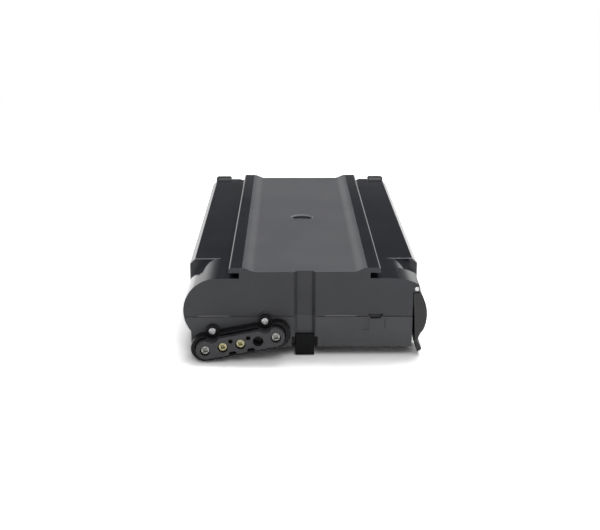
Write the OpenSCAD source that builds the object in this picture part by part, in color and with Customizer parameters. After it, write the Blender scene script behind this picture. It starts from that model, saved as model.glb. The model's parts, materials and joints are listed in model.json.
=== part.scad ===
// Slide-in rack battery for an electric bicycle.
// The origin is on the ground under the middle of the part. The connector
// end faces -Y, the carrying handle is at the +Y end, and the T-rail is up.

/* [Housing] */
// Width over the two round sides
body_w = 180; // [178:1:186]
// Length of the two half shells
shell_l = 335; // [333:1:345]
// Height of the shells from their underside to the flat wings
body_h = 53.3; // [53:0.1:57]
// Height of the lower shell
lower_h = 23.8; // [22.5:0.1:24.5]
// Clearance between the ground and the underside
ground_gap = 7.5; // [7:0.5:12]
// Wall of the shells
wall = 2.5; // [2:0.1:2.8]
// Radius of the round shoulders
shoulder_r = 25; // [24:0.5:26]
// How far the round sides stand out from the lower side walls
side_step = 5.5; // [5:0.1:7]
// Radius of the lower long edges
edge_r = 2.5; // [1.5:0.1:3]
// Length of the round-shouldered front, where the corner rails stop
cap_l = 53.6; // [53:0.1:55]
// Thickness of a corner rail at its thin edges
rail_t = 2.6; // [2.3:0.1:2.8]
// Chamfer along a corner rail
rail_chamfer = 4; // [3:0.5:6]
// How far the corner rails stand back from the round sides
rail_inset = 1.2; // [0.6:0.1:1.3]
// Groove that shows where the two shells meet
reveal = 0.6; // [0.4:0.1:1]

/* [T-rail] */
// Width over the two lips of the rail
deck_w = 112; // [108:1:116]
// Width of the neck under the lips
neck_w = 96.6; // [92:0.2:98]
// Height of the slot under each lip
slot_h = 4.3; // [4.2:0.1:5]
// Thickness of each lip
lip_t = 3.75; // [3.6:0.05:4.5]
// Width of the sunk middle of the rail
trough_w = 72; // [66:1:74]
// Depth of the sunk middle
trough_depth = 3.05; // [2.5:0.05:3.2]
// Width of the slope beside the sunk middle
slope_w = 9.5; // [7:0.5:10]
// Rounding of the upper lip edge
lip_r = 1.5; // [1:0.1:1.7]
// Diameter of the recess for the locking bolt
latch_d = 18.9; // [16:0.1:22]
// Depth of the recess for the locking bolt
latch_depth = 3.8; // [3.4:0.1:4]

/* [Front] */
// Width of the guide channel at the front face
channel_w = 16; // [14:0.5:18]
// Width of the guide channel at its floor
channel_floor_w = 10.7; // [9:0.1:12]
// Depth of the guide channel
channel_depth = 3.5; // [3:0.1:3.6]
// Width of the front foot
foot_w = 14.3; // [13:0.1:15]
// Height of the front foot above the underside
foot_rise = 10; // [9.4:0.1:11]
// Length of the front foot under the floor
foot_l = 30; // [25:1:40]
// Width of the notch that the front foot stands in
notch_w = 19.3; // [18:0.1:21]
// Height of that notch above the underside
notch_h = 8.1; // [7:0.1:9]

/* [Discharge connector] */
// Place of the connector left of the middle
conn_x = -47.5; // [-48.5:0.1:-46]
// Height of its centre above the underside
conn_rise = 7.95; // [7.9:0.05:9]
// Tilt of the connector
conn_tilt = 11; // [10:0.5:12]
// Spacing of its main contacts
contact_pitch = 13.25; // [13:0.05:13.4]
// Radius of the ends of the contact block
insert_r = 7.1; // [7:0.05:7.2]
// Width of the dark rim round the contact block
conn_rim = 2.6; // [2.4:0.1:2.6]
// Reach of the contact block in front of the housing
conn_reach = 15; // [14:0.5:18]
// Reach of the dark connector housing
boot_reach = 10; // [9:0.5:11]
// Radius of the two screw bosses
boss_r = 5; // [4.5:0.1:5.2]
// Height of the screws above the middle of the connector
conn_screw_v = 9.55; // [9.4:0.05:9.8]
// Outer radius of a main contact
contact_r = 2.95; // [2.5:0.05:3.1]
// Radius of the wells that the main contacts stand in
well_r = 3.75; // [3.6:0.05:3.9]
// Radius of the empty guide hole
guide_r = 3.9; // [3.5:0.05:4]

/* [Charge port flap] */
// Length of the step in the side that the flap closes
flap_l = 29; // [28.5:0.5:31]
// Depth of the step in the side that the flap closes
flap_step = 10; // [9.5:0.1:10.5]
// Radius of the hinge barrel
barrel_r = 2.3; // [2.1:0.1:2.4]
// Radius of the hinge pin
hinge_pin_r = 1; // [0.8:0.1:1.2]
// Radius of the bowed outer face of the flap
flap_bow_r = 30; // [29:0.5:31]
// Skin of the flap
flap_skin = 1.9; // [1.6:0.1:2.2]
// How far the flap stands ajar
flap_ajar = 3; // [0:0.5:4]
// Radius of the eave that covers the hinge
eave_r = 41; // [40:0.5:42]

/* [Cells] */
// Columns of cells along the housing
cell_columns = 13; // [13:1:13]
// Radius of a cell
cell_r = 9.2; // [9:0.05:9.25]
// Length of a cell
cell_l = 65; // [64:0.5:66]
// Spacing of the cells
cell_pitch = 20; // [19.5:0.1:20]
// Thickness of a cell holder
holder_t = 8; // [6:0.5:10]
// Thickness of the connecting strips
strip_t = 0.3; // [0.2:0.05:0.4]

/* [Rear end] */
// Length of the rear cover
cover_l = 13; // [12.5:0.1:14]
// Rounding of the rear corners seen from above
cover_corner_r = 10; // [6:0.5:12]
// Radius of the handle hubs
hub_r = 10; // [9.5:0.1:10.5]
// Width of a handle arm
arm_w = 15.6; // [14:0.1:16.5]
// Thickness of a handle arm
arm_t = 8; // [7:0.5:9]
// Height of the handle grip bar
grip_h = 18; // [16:0.5:20]
// Depth of the handle grip bar
grip_t = 13.5; // [12:0.5:14]
// Length of the soft sleeve on the grip
sleeve_l = 104; // [90:1:120]
// Width of the charge gauge window
gauge_w = 44; // [38:1:46]
// Height of the charge gauge window
gauge_h = 8; // [6:0.5:9]
// Radius of the gauge button
button_r = 5; // [4:0.1:5.5]

/* [Hidden] */
$fn = 48;

// Cuts run past the faces that they open by this much
over = 1;
// Clearance between pieces that only have to slip together
slip = 0.15;
// Running clearance of a pin in its bore
run_gap = 0.05;

// Heights and widths that follow from the housing
wing_z = ground_gap + body_h;
part_z = ground_gap + lower_h;
bulge_x = body_w / 2 - shoulder_r;
bulge_z = wing_z - shoulder_r;
side_x = body_w / 2 - side_step;
floor_z = ground_gap + wall;
roof_z = wing_z - wall;
seat_r = shoulder_r - rail_t;
rail_gap = 0.15;
rail_bottom_z = bulge_z + 0.02 * shoulder_r;
rail_x = body_w / 2 - rail_inset;
parting_x = bulge_x + sqrt(pow(shoulder_r, 2) - pow(bulge_z - part_z, 2));
flange_l = 6;
flange_t = 2.5;

// T-rail
lip_z = wing_z + slot_h;
deck_z = lip_z + lip_t;
trough_z = deck_z - trough_depth;
neck_x = neck_w / 2;
deck_roof_z = trough_z - wall;
latch_y = shell_l / 2;
latch_floor_z = trough_z - latch_depth;
latch_head_r = 4.5;
latch_head_h = 2.2;
latch_shank_r = 2;
latch_boss_r = latch_d / 2 + wall;
latch_boss_z = latch_floor_z - latch_head_h - wall;
latch_nut_h = 3;
latch_nut_r = 4.2;

// Front channel, notch and foot
channel_wall = 2.5;
foot_z = ground_gap + foot_rise;
notch_z = ground_gap + notch_h;
notch_l = 9;
foot_set_back = 0.8;
foot_tip_l = 2.6;
foot_edge_r = 3;

// Snap catch in the joint on the front face
snap_x = 52.6;
snap_top_w = 11.7;
snap_bottom_w = 7.2;
snap_up = 2.2;
snap_down = 1.7;
snap_depth = 3;
snap_groove_w = 4.7;
snap_groove_h = 8.8;
snap_groove_depth = 0.6;
snap_slit_w = 0.8;
snap_slit_h = 6.4;
snap_slit_drop = 2.5;

// Screws and bosses that join the shells
screw_front = 12.4;
screw_back = 9;
screw_inset = 6;
screw_first_y = cap_l + screw_front;
screw_step = (shell_l - screw_back - screw_first_y) / 3;
screw_columns_y = [for (k = [0:3]) screw_first_y + k * screw_step];
screw_x = side_x - screw_inset;
screw_boss_r = 4.5;
screw_r = 1.5;
screw_hole_r = 1.7;
screw_pilot_r = 1.55;
screw_head_r = 3;
screw_head_h = 2;
screw_sink = 1.2;
screw_l = 34;
upper_boss_h = 18.5;

// Gasket between the shells
gasket_w = 1;
gasket_h = 0.8;
gasket_inset = 0.9;
gasket_front = 4.2;
gasket_lug_gap = 0.8;

// Discharge connector, in its own frame: u along the contacts, v across them
conn_z = ground_gap + conn_rise;
conn_gasket_t = 0.8;
conn_screw_u = [-19.5, 20.2];
conn_screw_r = 1.5;
conn_head_r = 2.95;
conn_head_h = 2;
boss_reach = 3.6;
head_pocket_r = 3.7;
head_pocket_l = 1.6;
conn_head_y = head_pocket_l - boss_reach;
conn_screw_l = 9.5;
boot_r = insert_r + conn_rim;
boot_longer = 1.1;
boot_half = 2 * contact_pitch + boot_longer;
boot_v = -0.35;
boot_chamfer = 0.8;
boot_groove_w = 0.9;
boot_groove_l = 4;
insert_shorter = 0.4;
insert_half = 2 * contact_pitch - insert_shorter;
insert_v = -0.1;
contact_v = -0.6;
insert_slip = 0.05;
insert_seat = 3;
well_depth = 6;
contact_front = 2.4;
tail_r = 1.5;
tail_l = 7.5;
signal_u = contact_pitch / 2;
signal_v = 3.3;
signal_front = 4.5;
signal_well_l = 8;
signal_tail_l = well_depth + tail_l - signal_well_l;
signal_well_r = 1.7;
signal_r = 1.1;
signal_tail_r = 0.6;
key_r = 3.1;
key_u = 6.9;
throat_u = [-16.5, 29.5];
throat_v = [-3.4, 5.6];
throat_wall = 1;
lug_r = 6.4;
lug_boss_l = 9;
bite_slip = 0.3;
bite_r = boss_r + bite_slip;
ledge_w = 20;
ledge_l = 4.5;
conn_gasket_inset = 0.6;

function conn_place(u, v) = [conn_x + u * cos(conn_tilt) - v * sin(conn_tilt),
    conn_z + u * sin(conn_tilt) + v * cos(conn_tilt)];
lug = conn_place(conn_screw_u[1], conn_screw_v);
low_boss = conn_place(conn_screw_u[0], conn_screw_v);

// Flap over the charge port
flap_x = body_w / 2 - flap_step;
hinge_out = 2.8;
hinge_drop = 8.2;
hinge_x = flap_x + hinge_out;
hinge_z = wing_z - hinge_drop;
hinge_clear = 0.4;
ear_l = 1.4;
ear_lead = 0.3;
ear_r = barrel_r + ear_lead;
ear_clear = 0.7;
pin_head_t = 0.5;
pin_head_inset = 1;
flap_end_gap = 0.3;
flap_front = ear_l + flap_end_gap;
flap_rear_gap = 0.7;
flap_back = flap_l - ear_l - flap_end_gap;
flap_end_y = flap_l - flap_rear_gap;
flap_face = 0.25;
bow_inset = 0.2;
bow_drop = 2.2;
bow_l = 13.2;
bow_top_drop = 1.6;
bow_x = body_w / 2 - flap_bow_r - bow_inset;
bow_z = bulge_z - bow_drop;
bow_top_z = hinge_z - bow_top_drop;
bow_foot_z = bow_z - bow_l;
waist_rise = 4;
waist_z = ground_gap + waist_rise;
waist_t = 1.8;
lip_drop = 4.8;
flap_tip_z = ground_gap - lip_drop;
bead_r = 2.1;
bead_out = 0.6;
bead_rise = 3.4;
tip_chamfer = 0.9;
tip_draft = 1;
draft_rise = 8;
pocket_low = 1.4;
pocket_drop = 4.6;
pocket_low_z = bow_foot_z - pocket_low;
pocket_high_z = hinge_z - pocket_drop;
flap_end_t = 2;
eave_reach = 4.6;
eave_rise = 0.6;
eave_in = 6;
eave_x0 = bulge_x + eave_in;
eave_x = flap_x + eave_reach;
eave_low_z = hinge_z + eave_rise;

// Charge socket and fuse behind the flap
port_rise = 4.7;
port_z = bulge_z + port_rise;
socket_y = 8.9;
fuse_y = 20.4;
port_r = 4.7;
port_flange_r = 5.9;
port_flange_t = 1.4;
port_nut_r = 6.4;
port_nut_t = 2.2;
fuse_port_r = 3.7;
fuse_flange_r = 4.9;
fuse_nut_r = 5.3;
socket_l = 8;
socket_bore_r = 2.75;
socket_pin_r = 1;
fuse_l = 18;
fuse_r = 2.5;
fuse_tube_r = 2.7;
fuse_cap_r = 4.2;
fuse_cap_t = 1.6;

// Cell pack
pack_back = 12.5;
pack_y1 = shell_l - pack_back;
pack_edge = 1;
pack_y0 = pack_y1 - cell_columns * cell_pitch - pack_edge;
pack_rib_h = 1.5;
pack_z0 = floor_z + pack_rib_h;
pack_h = 2 * cell_pitch + 2 * pack_edge;
pack_z1 = pack_z0 + pack_h;
holder_lip = 0.8;
holder_bore_r = cell_r + 0.15;
holder_window_r = 7;
inner_x0 = strip_t / 2;
cell_x0 = inner_x0 + holder_lip;
cell_x1 = cell_x0 + cell_l;
outer_x1 = cell_x1 + holder_lip;
strip_margin = 1.5;
cell_shoulder = 0.8;
cell_cap_r = 3;
cell_groove = 0.5;
cell_edge = 0.5;
strip_slot_w = 1;
strip_slot_l = 10;
cell_groove_at = 4;
rib_foot = 0.5;

function column_y(k) = pack_y0 + pack_edge / 2 + cell_pitch * (k - 1 / 2);
function layer_z(n) = pack_z0 + pack_edge + cell_pitch * (n + 1 / 2);

// Management board on its posts, in front of the cells
board_rise = 20;
board_z = floor_z + board_rise;
board_t = 1.6;
board_w = 112;
board_l = 41;
board_side_gap = 34;
board_pack_gap = 5.5;
board_x1 = flap_x - board_side_gap;
board_x0 = board_x1 - board_w;
board_y1 = pack_y0 - board_pack_gap;
board_y0 = board_y1 - board_l;
post_r = 3.5;
stake_r = 1.2;
stake_h = 2.4;
// Places of the posts along and across the board
post_shares = [[0.036, 0.51], [0.91, 0.12], [0.91, 0.85], [0.41, 0.85]];
posts = [for (p = post_shares) [board_x0 + p[0] * board_w, board_y0 + p[1] * board_l]];
board_top_z = board_z + board_t;
mosfet_w = 9;
mosfet_h = 4.5;
mosfet_pitch = 11;
mosfets = 7;
mosfet_inset_x = 18;
mosfet_inset_y = 7;
mosfet_x0 = board_x0 + mosfet_inset_x;
mosfet_y0 = board_y0 + mosfet_inset_y;
mosfet_l = 11;
capacitor_r = 4;
capacitor_h = 12;
capacitor_inset = 14;
capacitor_x0 = mosfet_x0 + 2 * capacitor_r;
header_l = 20;
header_w = 6;
header_h = 7;
plug_x = 20;
plug_inset = 8;
plug_y = board_y1 - plug_inset;
sink_t = 6;
sink_fin_h = 4;
sink_fin_t = 1.2;
sink_fins = 5;

// Leads
battery_lead_r = 2;
lead_gap = 4;
lead_rise = 4.5;
lead_side_x = outer_x1 + strip_t + lead_gap;
lead_z = layer_z(1) + lead_rise;
lead_inset = 5;
lead_bend_y = board_y1 - lead_inset;
lead_pad_left = 7;
lead_pad_right = 3;
charge_pad = 5;
socket_pad = 14;
connector_pad = 5;
signal_pad = 12;
connector_lead_r = 1.4;
charge_lead_r = 1.2;
signal_lead_r = 0.7;
cable_r = 1.5;
cable_rise = 0.1;
cable_z = pack_z1 + cable_r + cable_rise;

// Foam between the cells and the shells
foam_neck_gap = 2;
foam_side_gap = 0.5;
foam_end_gap = 8;
foam_x0 = neck_x + foam_neck_gap;
foam_x1 = bulge_x - wall - foam_side_gap;
foam_y0 = pack_y0 + foam_end_gap;
foam_y1 = pack_y1 - foam_end_gap;
rear_foam_w = 40;
rear_foam_rise = 8;
rear_foam_z0 = floor_z + rear_foam_rise;
rear_foam_h = 24;

// Rear cover, gauge and handle
cover_gasket_t = 1;
cover_gasket_inset = 0.8;
cover_gasket_side = 0.2;
cover_gasket_in = 0.5;
cover_y0 = shell_l + cover_gasket_t;
cover_y1 = shell_l + cover_l;
pivot_reach = 6;
pivot_drop = 7.4;
pivot_y = cover_y1 + pivot_reach;
pivot_z = wing_z - pivot_drop;
arm_inset = 4;
arm_x0 = body_w / 2 - arm_inset - arm_w;
arm_x1 = arm_x0 + arm_w;
hub_clear = 0.5;
hub_edge = 2;
hub_pocket_wall = 2;
ear_side_gap = 0.3;
ear_w = 10;
ear_x1 = arm_x0 - ear_side_gap;
ear_x0 = ear_x1 - ear_w;
ear_boss_r = 7;
pivot_r = 3;
pivot_tip_r = 2;
pivot_head_r = 4.4;
pivot_head_t = 2.5;
handle_gap = 2;
grip_rise = 4.5;
handle_y0 = cover_y1 + handle_gap;
grip_z0 = ground_gap + grip_rise;
grip_edge_r = 4;
sleeve_t = 1.5;
sleeve_gap = 0.05;
sleeve_grooves = 5;
sleeve_groove_r = 1;
cover_screw_x = 50;
cover_screw_rise = 9.5;
cover_screw_drop = 8;
cover_screw_z = [ground_gap + cover_screw_rise, roof_z - cover_screw_drop];
cover_screw_l = 16;
cover_column_r = 4;
shell_boss_l = 8.5;
gauge_x = -8;
gauge_drop = 12.8;
gauge_z = wing_z - gauge_drop;
gauge_flange = 2;
gauge_proud = 0.2;
gauge_board_w = 76;
gauge_board_h = 18;
gauge_board_back = 8.5;
gauge_board_y = cover_y1 - gauge_board_back;
gauge_board_t = 1.5;
gauge_board_z0 = gauge_z - gauge_board_h / 2;
gauge_stake_r = 2;
gauge_stake_inset = 3;
button_x = 27;
button_proud = 1.2;
button_flange_r = 6.2;
button_flange_t = 1;
button_stem_r = 2;
button_stem_l = 1.4;
button_gap = 0.25;
led_r = 1.2;
led_h = 1.2;
led_count = 5;
led_pitch = 8;
cable_hole_r = 2.8;

// Rear feet
rear_foot_r = 9;
rear_foot_edge = 1.5;
rear_foot_x = 50;
rear_foot_back = 30;

// The whole part is centred on the origin along its length
hub_back = pivot_y + hub_r;
front_y = (conn_reach - hub_back) / 2;

module placed() {
    translate([0, front_y, 0]) children();
}

// Extrudes an outline drawn in x and z from y = a to y = b
module along_y(a, b) {
    translate([0, b, 0]) rotate([90, 0, 0]) linear_extrude(height = b - a) children();
}

// Extrudes an outline drawn in y and z from x = a to x = b
module along_x(a, b) {
    translate([a, 0, 0]) rotate([90, 0, 90]) linear_extrude(height = b - a) children();
}

module rod_x(a, b, y, z, r) {
    translate([a, y, z]) rotate([0, 90, 0]) cylinder(r = r, h = b - a);
}

module rod_y(a, b, x, z, r) {
    translate([x, a, z]) rotate([-90, 0, 0]) cylinder(r = r, h = b - a);
}

module rod_z(a, b, x, y, r) {
    translate([x, y, a]) cylinder(r = r, h = b - a);
}

module block(low, high) {
    translate(low) cube(high - low);
}

module both_sides() {
    children();
    mirror([1, 0, 0]) children();
}

function arc(x, z, r, from, to, n) =
    [for (i = [0:n]) let (a = from + (to - from) * i / n) [x + r * cos(a), z + r * sin(a)]];

// Points of an S-shaped step from one height to another
function step_curve(x0, z0, x1, z1, n) =
    [for (i = [0:n]) let (t = i / n) [x0 + (x1 - x0) * t, z0 + (z1 - z0) * t * t * (3 - 2 * t)]];

// Half of the housing section, inset by i at the flat walls and ir at the round side
module side_outline(i, ir) {
    translate([0, ground_gap + i]) square([side_x - i - edge_r, shoulder_r]);
    translate([0, ground_gap + i + edge_r])
        square([side_x - i, bulge_z - ground_gap - i - edge_r]);
    translate([side_x - i - edge_r, ground_gap + i + edge_r]) circle(r = edge_r);
    translate([0, ground_gap + i]) square([bulge_x, body_h - 2 * i]);
    translate([bulge_x, bulge_z]) circle(r = shoulder_r - ir);
}

module body_outline(i, ir) {
    side_outline(i, ir);
    mirror([1, 0]) side_outline(i, ir);
}

// Overhanging shoulder above the hinge of the flap
module eave_outline() {
    difference() {
        intersection() {
            translate([bulge_x, wing_z - eave_r]) circle(r = eave_r, $fn = 96);
            union() {
                translate([eave_x0, bulge_z]) square([flap_x - eave_x0, shoulder_r]);
                translate([eave_x0, eave_low_z]) square([eave_x - eave_x0, shoulder_r]);
            }
        }
        translate([hinge_x, hinge_z]) circle(r = barrel_r + hinge_clear);
    }
}

// Section of the front of the housing, with its step on the right for the flap
module cap_outline(i, ir, outside) {
    mirror([1, 0]) side_outline(i, ir);
    intersection() {
        side_outline(i, ir);
        square([flap_x - i, wing_z]);
    }
    if (outside) eave_outline();
}

// Section of one corner rail, grown by g
module rail_outline(g) {
    difference() {
        polygon([[bulge_x + g, bulge_z], [bulge_x + g, wing_z], [rail_x - rail_chamfer, wing_z],
            [rail_x, wing_z - rail_chamfer], [rail_x, rail_bottom_z + g],
            [bulge_x, rail_bottom_z + g]]);
        translate([bulge_x, bulge_z]) circle(r = seat_r + g, $fn = 96);
    }
}

// Section of all that lies outside the seat of a corner rail
module rail_seat_outline() {
    difference() {
        translate([bulge_x, rail_bottom_z]) square([shoulder_r + over, wing_z - rail_bottom_z + over]);
        translate([bulge_x, bulge_z]) circle(r = seat_r, $fn = 96);
    }
}

// Section of the T-rail above the wings
module deck_outline() {
    half = concat([[0, trough_z], [trough_w / 2, trough_z]],
        step_curve(trough_w / 2, trough_z, trough_w / 2 + slope_w, deck_z, 6),
        arc(deck_w / 2 - lip_r, deck_z - lip_r, lip_r, 90, 0, 4),
        [[deck_w / 2, lip_z], [neck_x, lip_z], [neck_x, wing_z - wall], [0, wing_z - wall]]);
    polygon(half);
    mirror([1, 0]) polygon(half);
}

// Outline seen from above of the joint between the shells
module plan_outline(side, front, back) {
    polygon([[-parting_x + side, front], [flap_x - side, front], [flap_x - side, flap_l + side],
        [parting_x - side, flap_l + side], [parting_x - side, shell_l - back],
        [-parting_x + side, shell_l - back]]);
}

module shell_solid() {
    along_y(0, flap_l) cap_outline(0, 0, true);
    along_y(flap_l, shell_l) body_outline(0, 0);
}

module shell_cavity() {
    along_y(wall, flap_l + wall + over) cap_outline(wall, wall, false);
    along_y(flap_l + wall, cap_l - wall) body_outline(wall, wall);
    along_y(cap_l - wall - over, shell_l - wall) body_outline(wall, wall + rail_t);
}

module level(low, high) {
    block([-body_w, -over, low], [body_w, shell_l + over, high]);
}

// The groove that shows along the joint
module joint_reveal(low, high) {
    difference() {
        block([-body_w, -body_w, low], [body_w, shell_l + body_w, high]);
        translate([0, 0, low - over]) linear_extrude(height = high - low + 2 * over)
            plan_outline(reveal, reveal, 0);
    }
}

// Trapezoid guide channel down the front face
module channel_cut(low, high) {
    translate([0, 0, low]) linear_extrude(height = high - low)
        polygon([[-channel_w / 2, 0], [-channel_floor_w / 2, channel_depth],
            [channel_floor_w / 2, channel_depth], [channel_w / 2, 0],
            [channel_w / 2, -over], [-channel_w / 2, -over]]);
}

module channel_backing(low, high) {
    block([-channel_w / 2 - channel_wall, wall / 2, low],
        [channel_w / 2 + channel_wall, channel_depth + channel_wall, high]);
}

module snap_cut() {
    along_y(-over, snap_depth) polygon([
        [snap_x - snap_bottom_w / 2, part_z - snap_down],
        [snap_x - snap_top_w / 2, part_z + snap_up],
        [snap_x + snap_top_w / 2, part_z + snap_up],
        [snap_x + snap_bottom_w / 2, part_z - snap_down]]);
}

// Ledge along the front wall that carries the gasket round the connector's upper boss
module front_flange(low, high) {
    block([-side_x + wall / 2, wall / 2, low], [flap_x - wall / 2, flange_l, high]);
    block([lug[0] - ledge_w / 2, wall / 2, low], [lug[0] + ledge_w / 2, lug_boss_l + ledge_l, high]);
}

module gasket_loop(side, front, back, lug_w, lug_l) {
    difference() {
        plan_outline(side, front, back);
        translate([lug[0] - lug_w / 2, 0]) square([lug_w, lug_l]);
    }
}

module gasket_ring(low, high, g) {
    half = lug_r + gasket_lug_gap;
    reach = lug_boss_l + 2 * gasket_lug_gap;
    translate([0, 0, low]) linear_extrude(height = high - low) difference() {
        gasket_loop(gasket_inset - g, gasket_front - g, gasket_inset - g, 2 * (half - g), reach - g);
        gasket_loop(gasket_inset + gasket_w + g, gasket_front + gasket_w + g,
            gasket_inset + gasket_w + g, 2 * (half + gasket_w + g), reach + gasket_w + g);
    }
}

module upper_shell() {
    color([0.22, 0.23, 0.25]) placed() difference() {
        union() {
            difference() {
                intersection() {
                    shell_solid();
                    level(part_z, wing_z + over);
                }
                shell_cavity();
                block([-neck_x + wall, wall, roof_z - over],
                    [neck_x - wall, shell_l - wall, wing_z + over]);
            }
            difference() {
                along_y(0, shell_l) deck_outline();
                block([-neck_x + wall, wall, roof_z - 2 * over],
                    [neck_x - wall, shell_l - wall, deck_roof_z]);
            }
            // Webs that join the wings to the seats of the corner rails
            both_sides() block([bulge_x - wall, cap_l - wall, bulge_z + seat_r - wall],
                [bulge_x, shell_l - wall / 2, wing_z - wall / 2]);
            channel_backing(part_z, deck_roof_z + wall / 2);
            front_flange(part_z, part_z + flange_t);
            rod_z(latch_boss_z, deck_roof_z + wall / 2, 0, latch_y, latch_boss_r);
            block([snap_x - snap_top_w, wall / 2, part_z], [snap_x + snap_top_w, flange_l,
                part_z + snap_up + wall]);
            for (y = screw_columns_y) both_sides()
                rod_z(part_z, part_z + upper_boss_h, screw_x, y, screw_boss_r);
            for (s = [-1, 1]) rod_y(shell_l - wall - shell_boss_l, shell_l - wall / 2,
                s * cover_screw_x, cover_screw_z[1], cover_column_r);
            // Ears that carry the two ends of the hinge pin
            difference() {
                union() {
                    for (y = [0, flap_l - ear_l]) rod_y(y, y + ear_l, hinge_x, hinge_z, ear_r);
                    block([flap_x - wall / 2, 0, hinge_z - ear_r],
                        [hinge_x, ear_l, hinge_z + ear_r]);
                    block([flap_x - wall / 2, flap_l - ear_l, hinge_z - ear_r],
                        [hinge_x, flap_l + over, hinge_z]);
                }
                rod_y(-over, flap_l, hinge_x, hinge_z, hinge_pin_r + run_gap);
            }
        }
        // Seats of the corner rails
        along_y(cap_l, shell_l + over) both_rail_seats();
        channel_cut(part_z - over, deck_z + over);
        joint_reveal(part_z - over, part_z + reveal / 2);
        snap_cut();
        rod_y(-over, lug_boss_l + over, lug[0], lug[1], lug_r + slip);
        rod_z(latch_floor_z, trough_z + over, 0, latch_y, latch_d / 2);
        rod_z(latch_floor_z - latch_head_h - slip, latch_floor_z + over, 0, latch_y,
            latch_head_r + slip);
        rod_z(latch_boss_z - over, latch_floor_z, 0, latch_y, latch_shank_r + run_gap);
        for (y = screw_columns_y) both_sides()
            rod_z(part_z - over, part_z + upper_boss_h - wall, screw_x, y, screw_pilot_r);
        for (s = [-1, 1]) rod_y(shell_l - wall - shell_boss_l + wall, shell_l + over,
            s * cover_screw_x, cover_screw_z[1], screw_pilot_r);
        rod_y(shell_l - wall - over, shell_l + over, plug_x, cable_z, cable_hole_r);
        rod_x(flap_x - wall - over, flap_x + over, socket_y, port_z, port_r + slip);
        rod_x(flap_x - wall - over, flap_x + over, fuse_y, port_z, fuse_port_r + slip);
    }
}

module both_rail_seats() {
    rail_seat_outline();
    mirror([1, 0]) rail_seat_outline();
}

module lower_shell() {
    color([0.25, 0.26, 0.28]) placed() difference() {
        union() {
            difference() {
                intersection() {
                    shell_solid();
                    level(0, part_z);
                }
                shell_cavity();
            }
            channel_backing(floor_z - wall / 2, part_z);
            block([-notch_w / 2 - wall, wall / 2, floor_z - wall / 2],
                [notch_w / 2 + wall, notch_l + wall, foot_z + wall]);
            front_flange(part_z - flange_t, part_z);
            block([snap_x - snap_top_w, wall / 2, part_z - snap_down - wall],
                [snap_x + snap_top_w, flange_l, part_z]);
            // Round lug that rises past the joint behind the connector's upper boss
            rod_y(0, lug_boss_l, lug[0], lug[1], lug_r);
            rod_y(wall / 2, lug_boss_l, low_boss[0], low_boss[1], boss_r);
            for (y = screw_columns_y) both_sides()
                rod_z(floor_z - wall / 2, part_z, screw_x, y, screw_boss_r);
            for (s = [-1, 1]) rod_y(shell_l - wall - shell_boss_l, shell_l - wall / 2,
                s * cover_screw_x, cover_screw_z[0], cover_column_r);
            // Ribs that the cell holders stand on
            for (x = [0, outer_x1 - holder_t, -outer_x1])
                block([x == 0 ? -inner_x0 - holder_t : x, pack_y0, floor_z - rib_foot],
                    [x == 0 ? inner_x0 + holder_t : x + holder_t, pack_y1, pack_z0]);
            for (p = posts) {
                rod_z(floor_z - rib_foot, board_z, p[0], p[1], post_r);
                rod_z(board_z - over, board_top_z + stake_h, p[0], p[1], stake_r);
            }
        }
        channel_cut(foot_z, part_z + over);
        // Notch of the front foot
        block([-notch_w / 2, -over, 0], [notch_w / 2, notch_l, notch_z]);
        block([-foot_w / 2 - slip, -over, notch_z - over],
            [foot_w / 2 + slip, foot_set_back + foot_tip_l + slip, foot_z + slip]);
        joint_reveal(part_z - reveal / 2, part_z + over);
        snap_cut();
        along_y(-over, snap_groove_depth) {
            translate([snap_x - snap_top_w / 2 - snap_groove_w * 0.78,
                part_z - snap_down - snap_groove_h]) square([snap_groove_w, snap_groove_h]);
            translate([snap_x + snap_top_w / 2 + snap_slit_w,
                part_z - snap_slit_drop - snap_slit_h]) square([snap_slit_w, snap_slit_h]);
        }
        gasket_ring(part_z - gasket_h - run_gap, part_z + over, run_gap);
        for (y = screw_columns_y) both_sides() {
            rod_z(floor_z - 2 * wall, part_z + over, screw_x, y, screw_hole_r);
            rod_z(ground_gap - over, ground_gap + screw_sink + screw_head_h, screw_x, y,
                screw_head_r + slip);
        }
        for (s = [-1, 1]) rod_y(shell_l - wall - shell_boss_l + wall, shell_l + over,
            s * cover_screw_x, cover_screw_z[0], screw_pilot_r);
        rod_y(-over, lug_boss_l - over, lug[0], lug[1], conn_screw_r + run_gap);
        rod_y(-over, lug_boss_l - over, low_boss[0], low_boss[1], conn_screw_r + run_gap);
        at_connector() along_y(-over, wall + over) throat_outline(slip);
    }
}

module shell_gasket() {
    color([0.08, 0.08, 0.08]) placed() gasket_ring(part_z - gasket_h, part_z, 0);
}

module pan_screw(head_r, head_h, shank_r, length) {
    intersection() {
        cylinder(r = head_r, h = head_h);
        translate([0, 0, head_h - 1.6 * head_r]) sphere(r = 1.6 * head_r);
    }
    translate([0, 0, -length]) cylinder(r = shank_r, h = length + head_h / 4);
}

module cross_slot(r, depth, height) {
    for (a = [0, 90]) rotate([0, 0, a])
        translate([-r * 0.6, -r * 0.1, height - depth]) cube([r * 1.2, r * 0.2, depth + over]);
}

module shell_screws() {
    color([0.75, 0.75, 0.76]) placed() for (y = screw_columns_y) both_sides()
        translate([screw_x, y, ground_gap + screw_sink + screw_head_h]) mirror([0, 0, 1])
            difference() {
                pan_screw(screw_head_r, screw_head_h, screw_r, screw_l);
                cross_slot(screw_head_r, screw_head_h / 2, screw_head_h);
            }
}

module corner_rail_right() {
    color([0.19, 0.2, 0.23]) placed() along_y(cap_l, shell_l) rail_outline(rail_gap);
}

module corner_rail_left() {
    mirror([1, 0, 0]) corner_rail_right();
}

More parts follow.
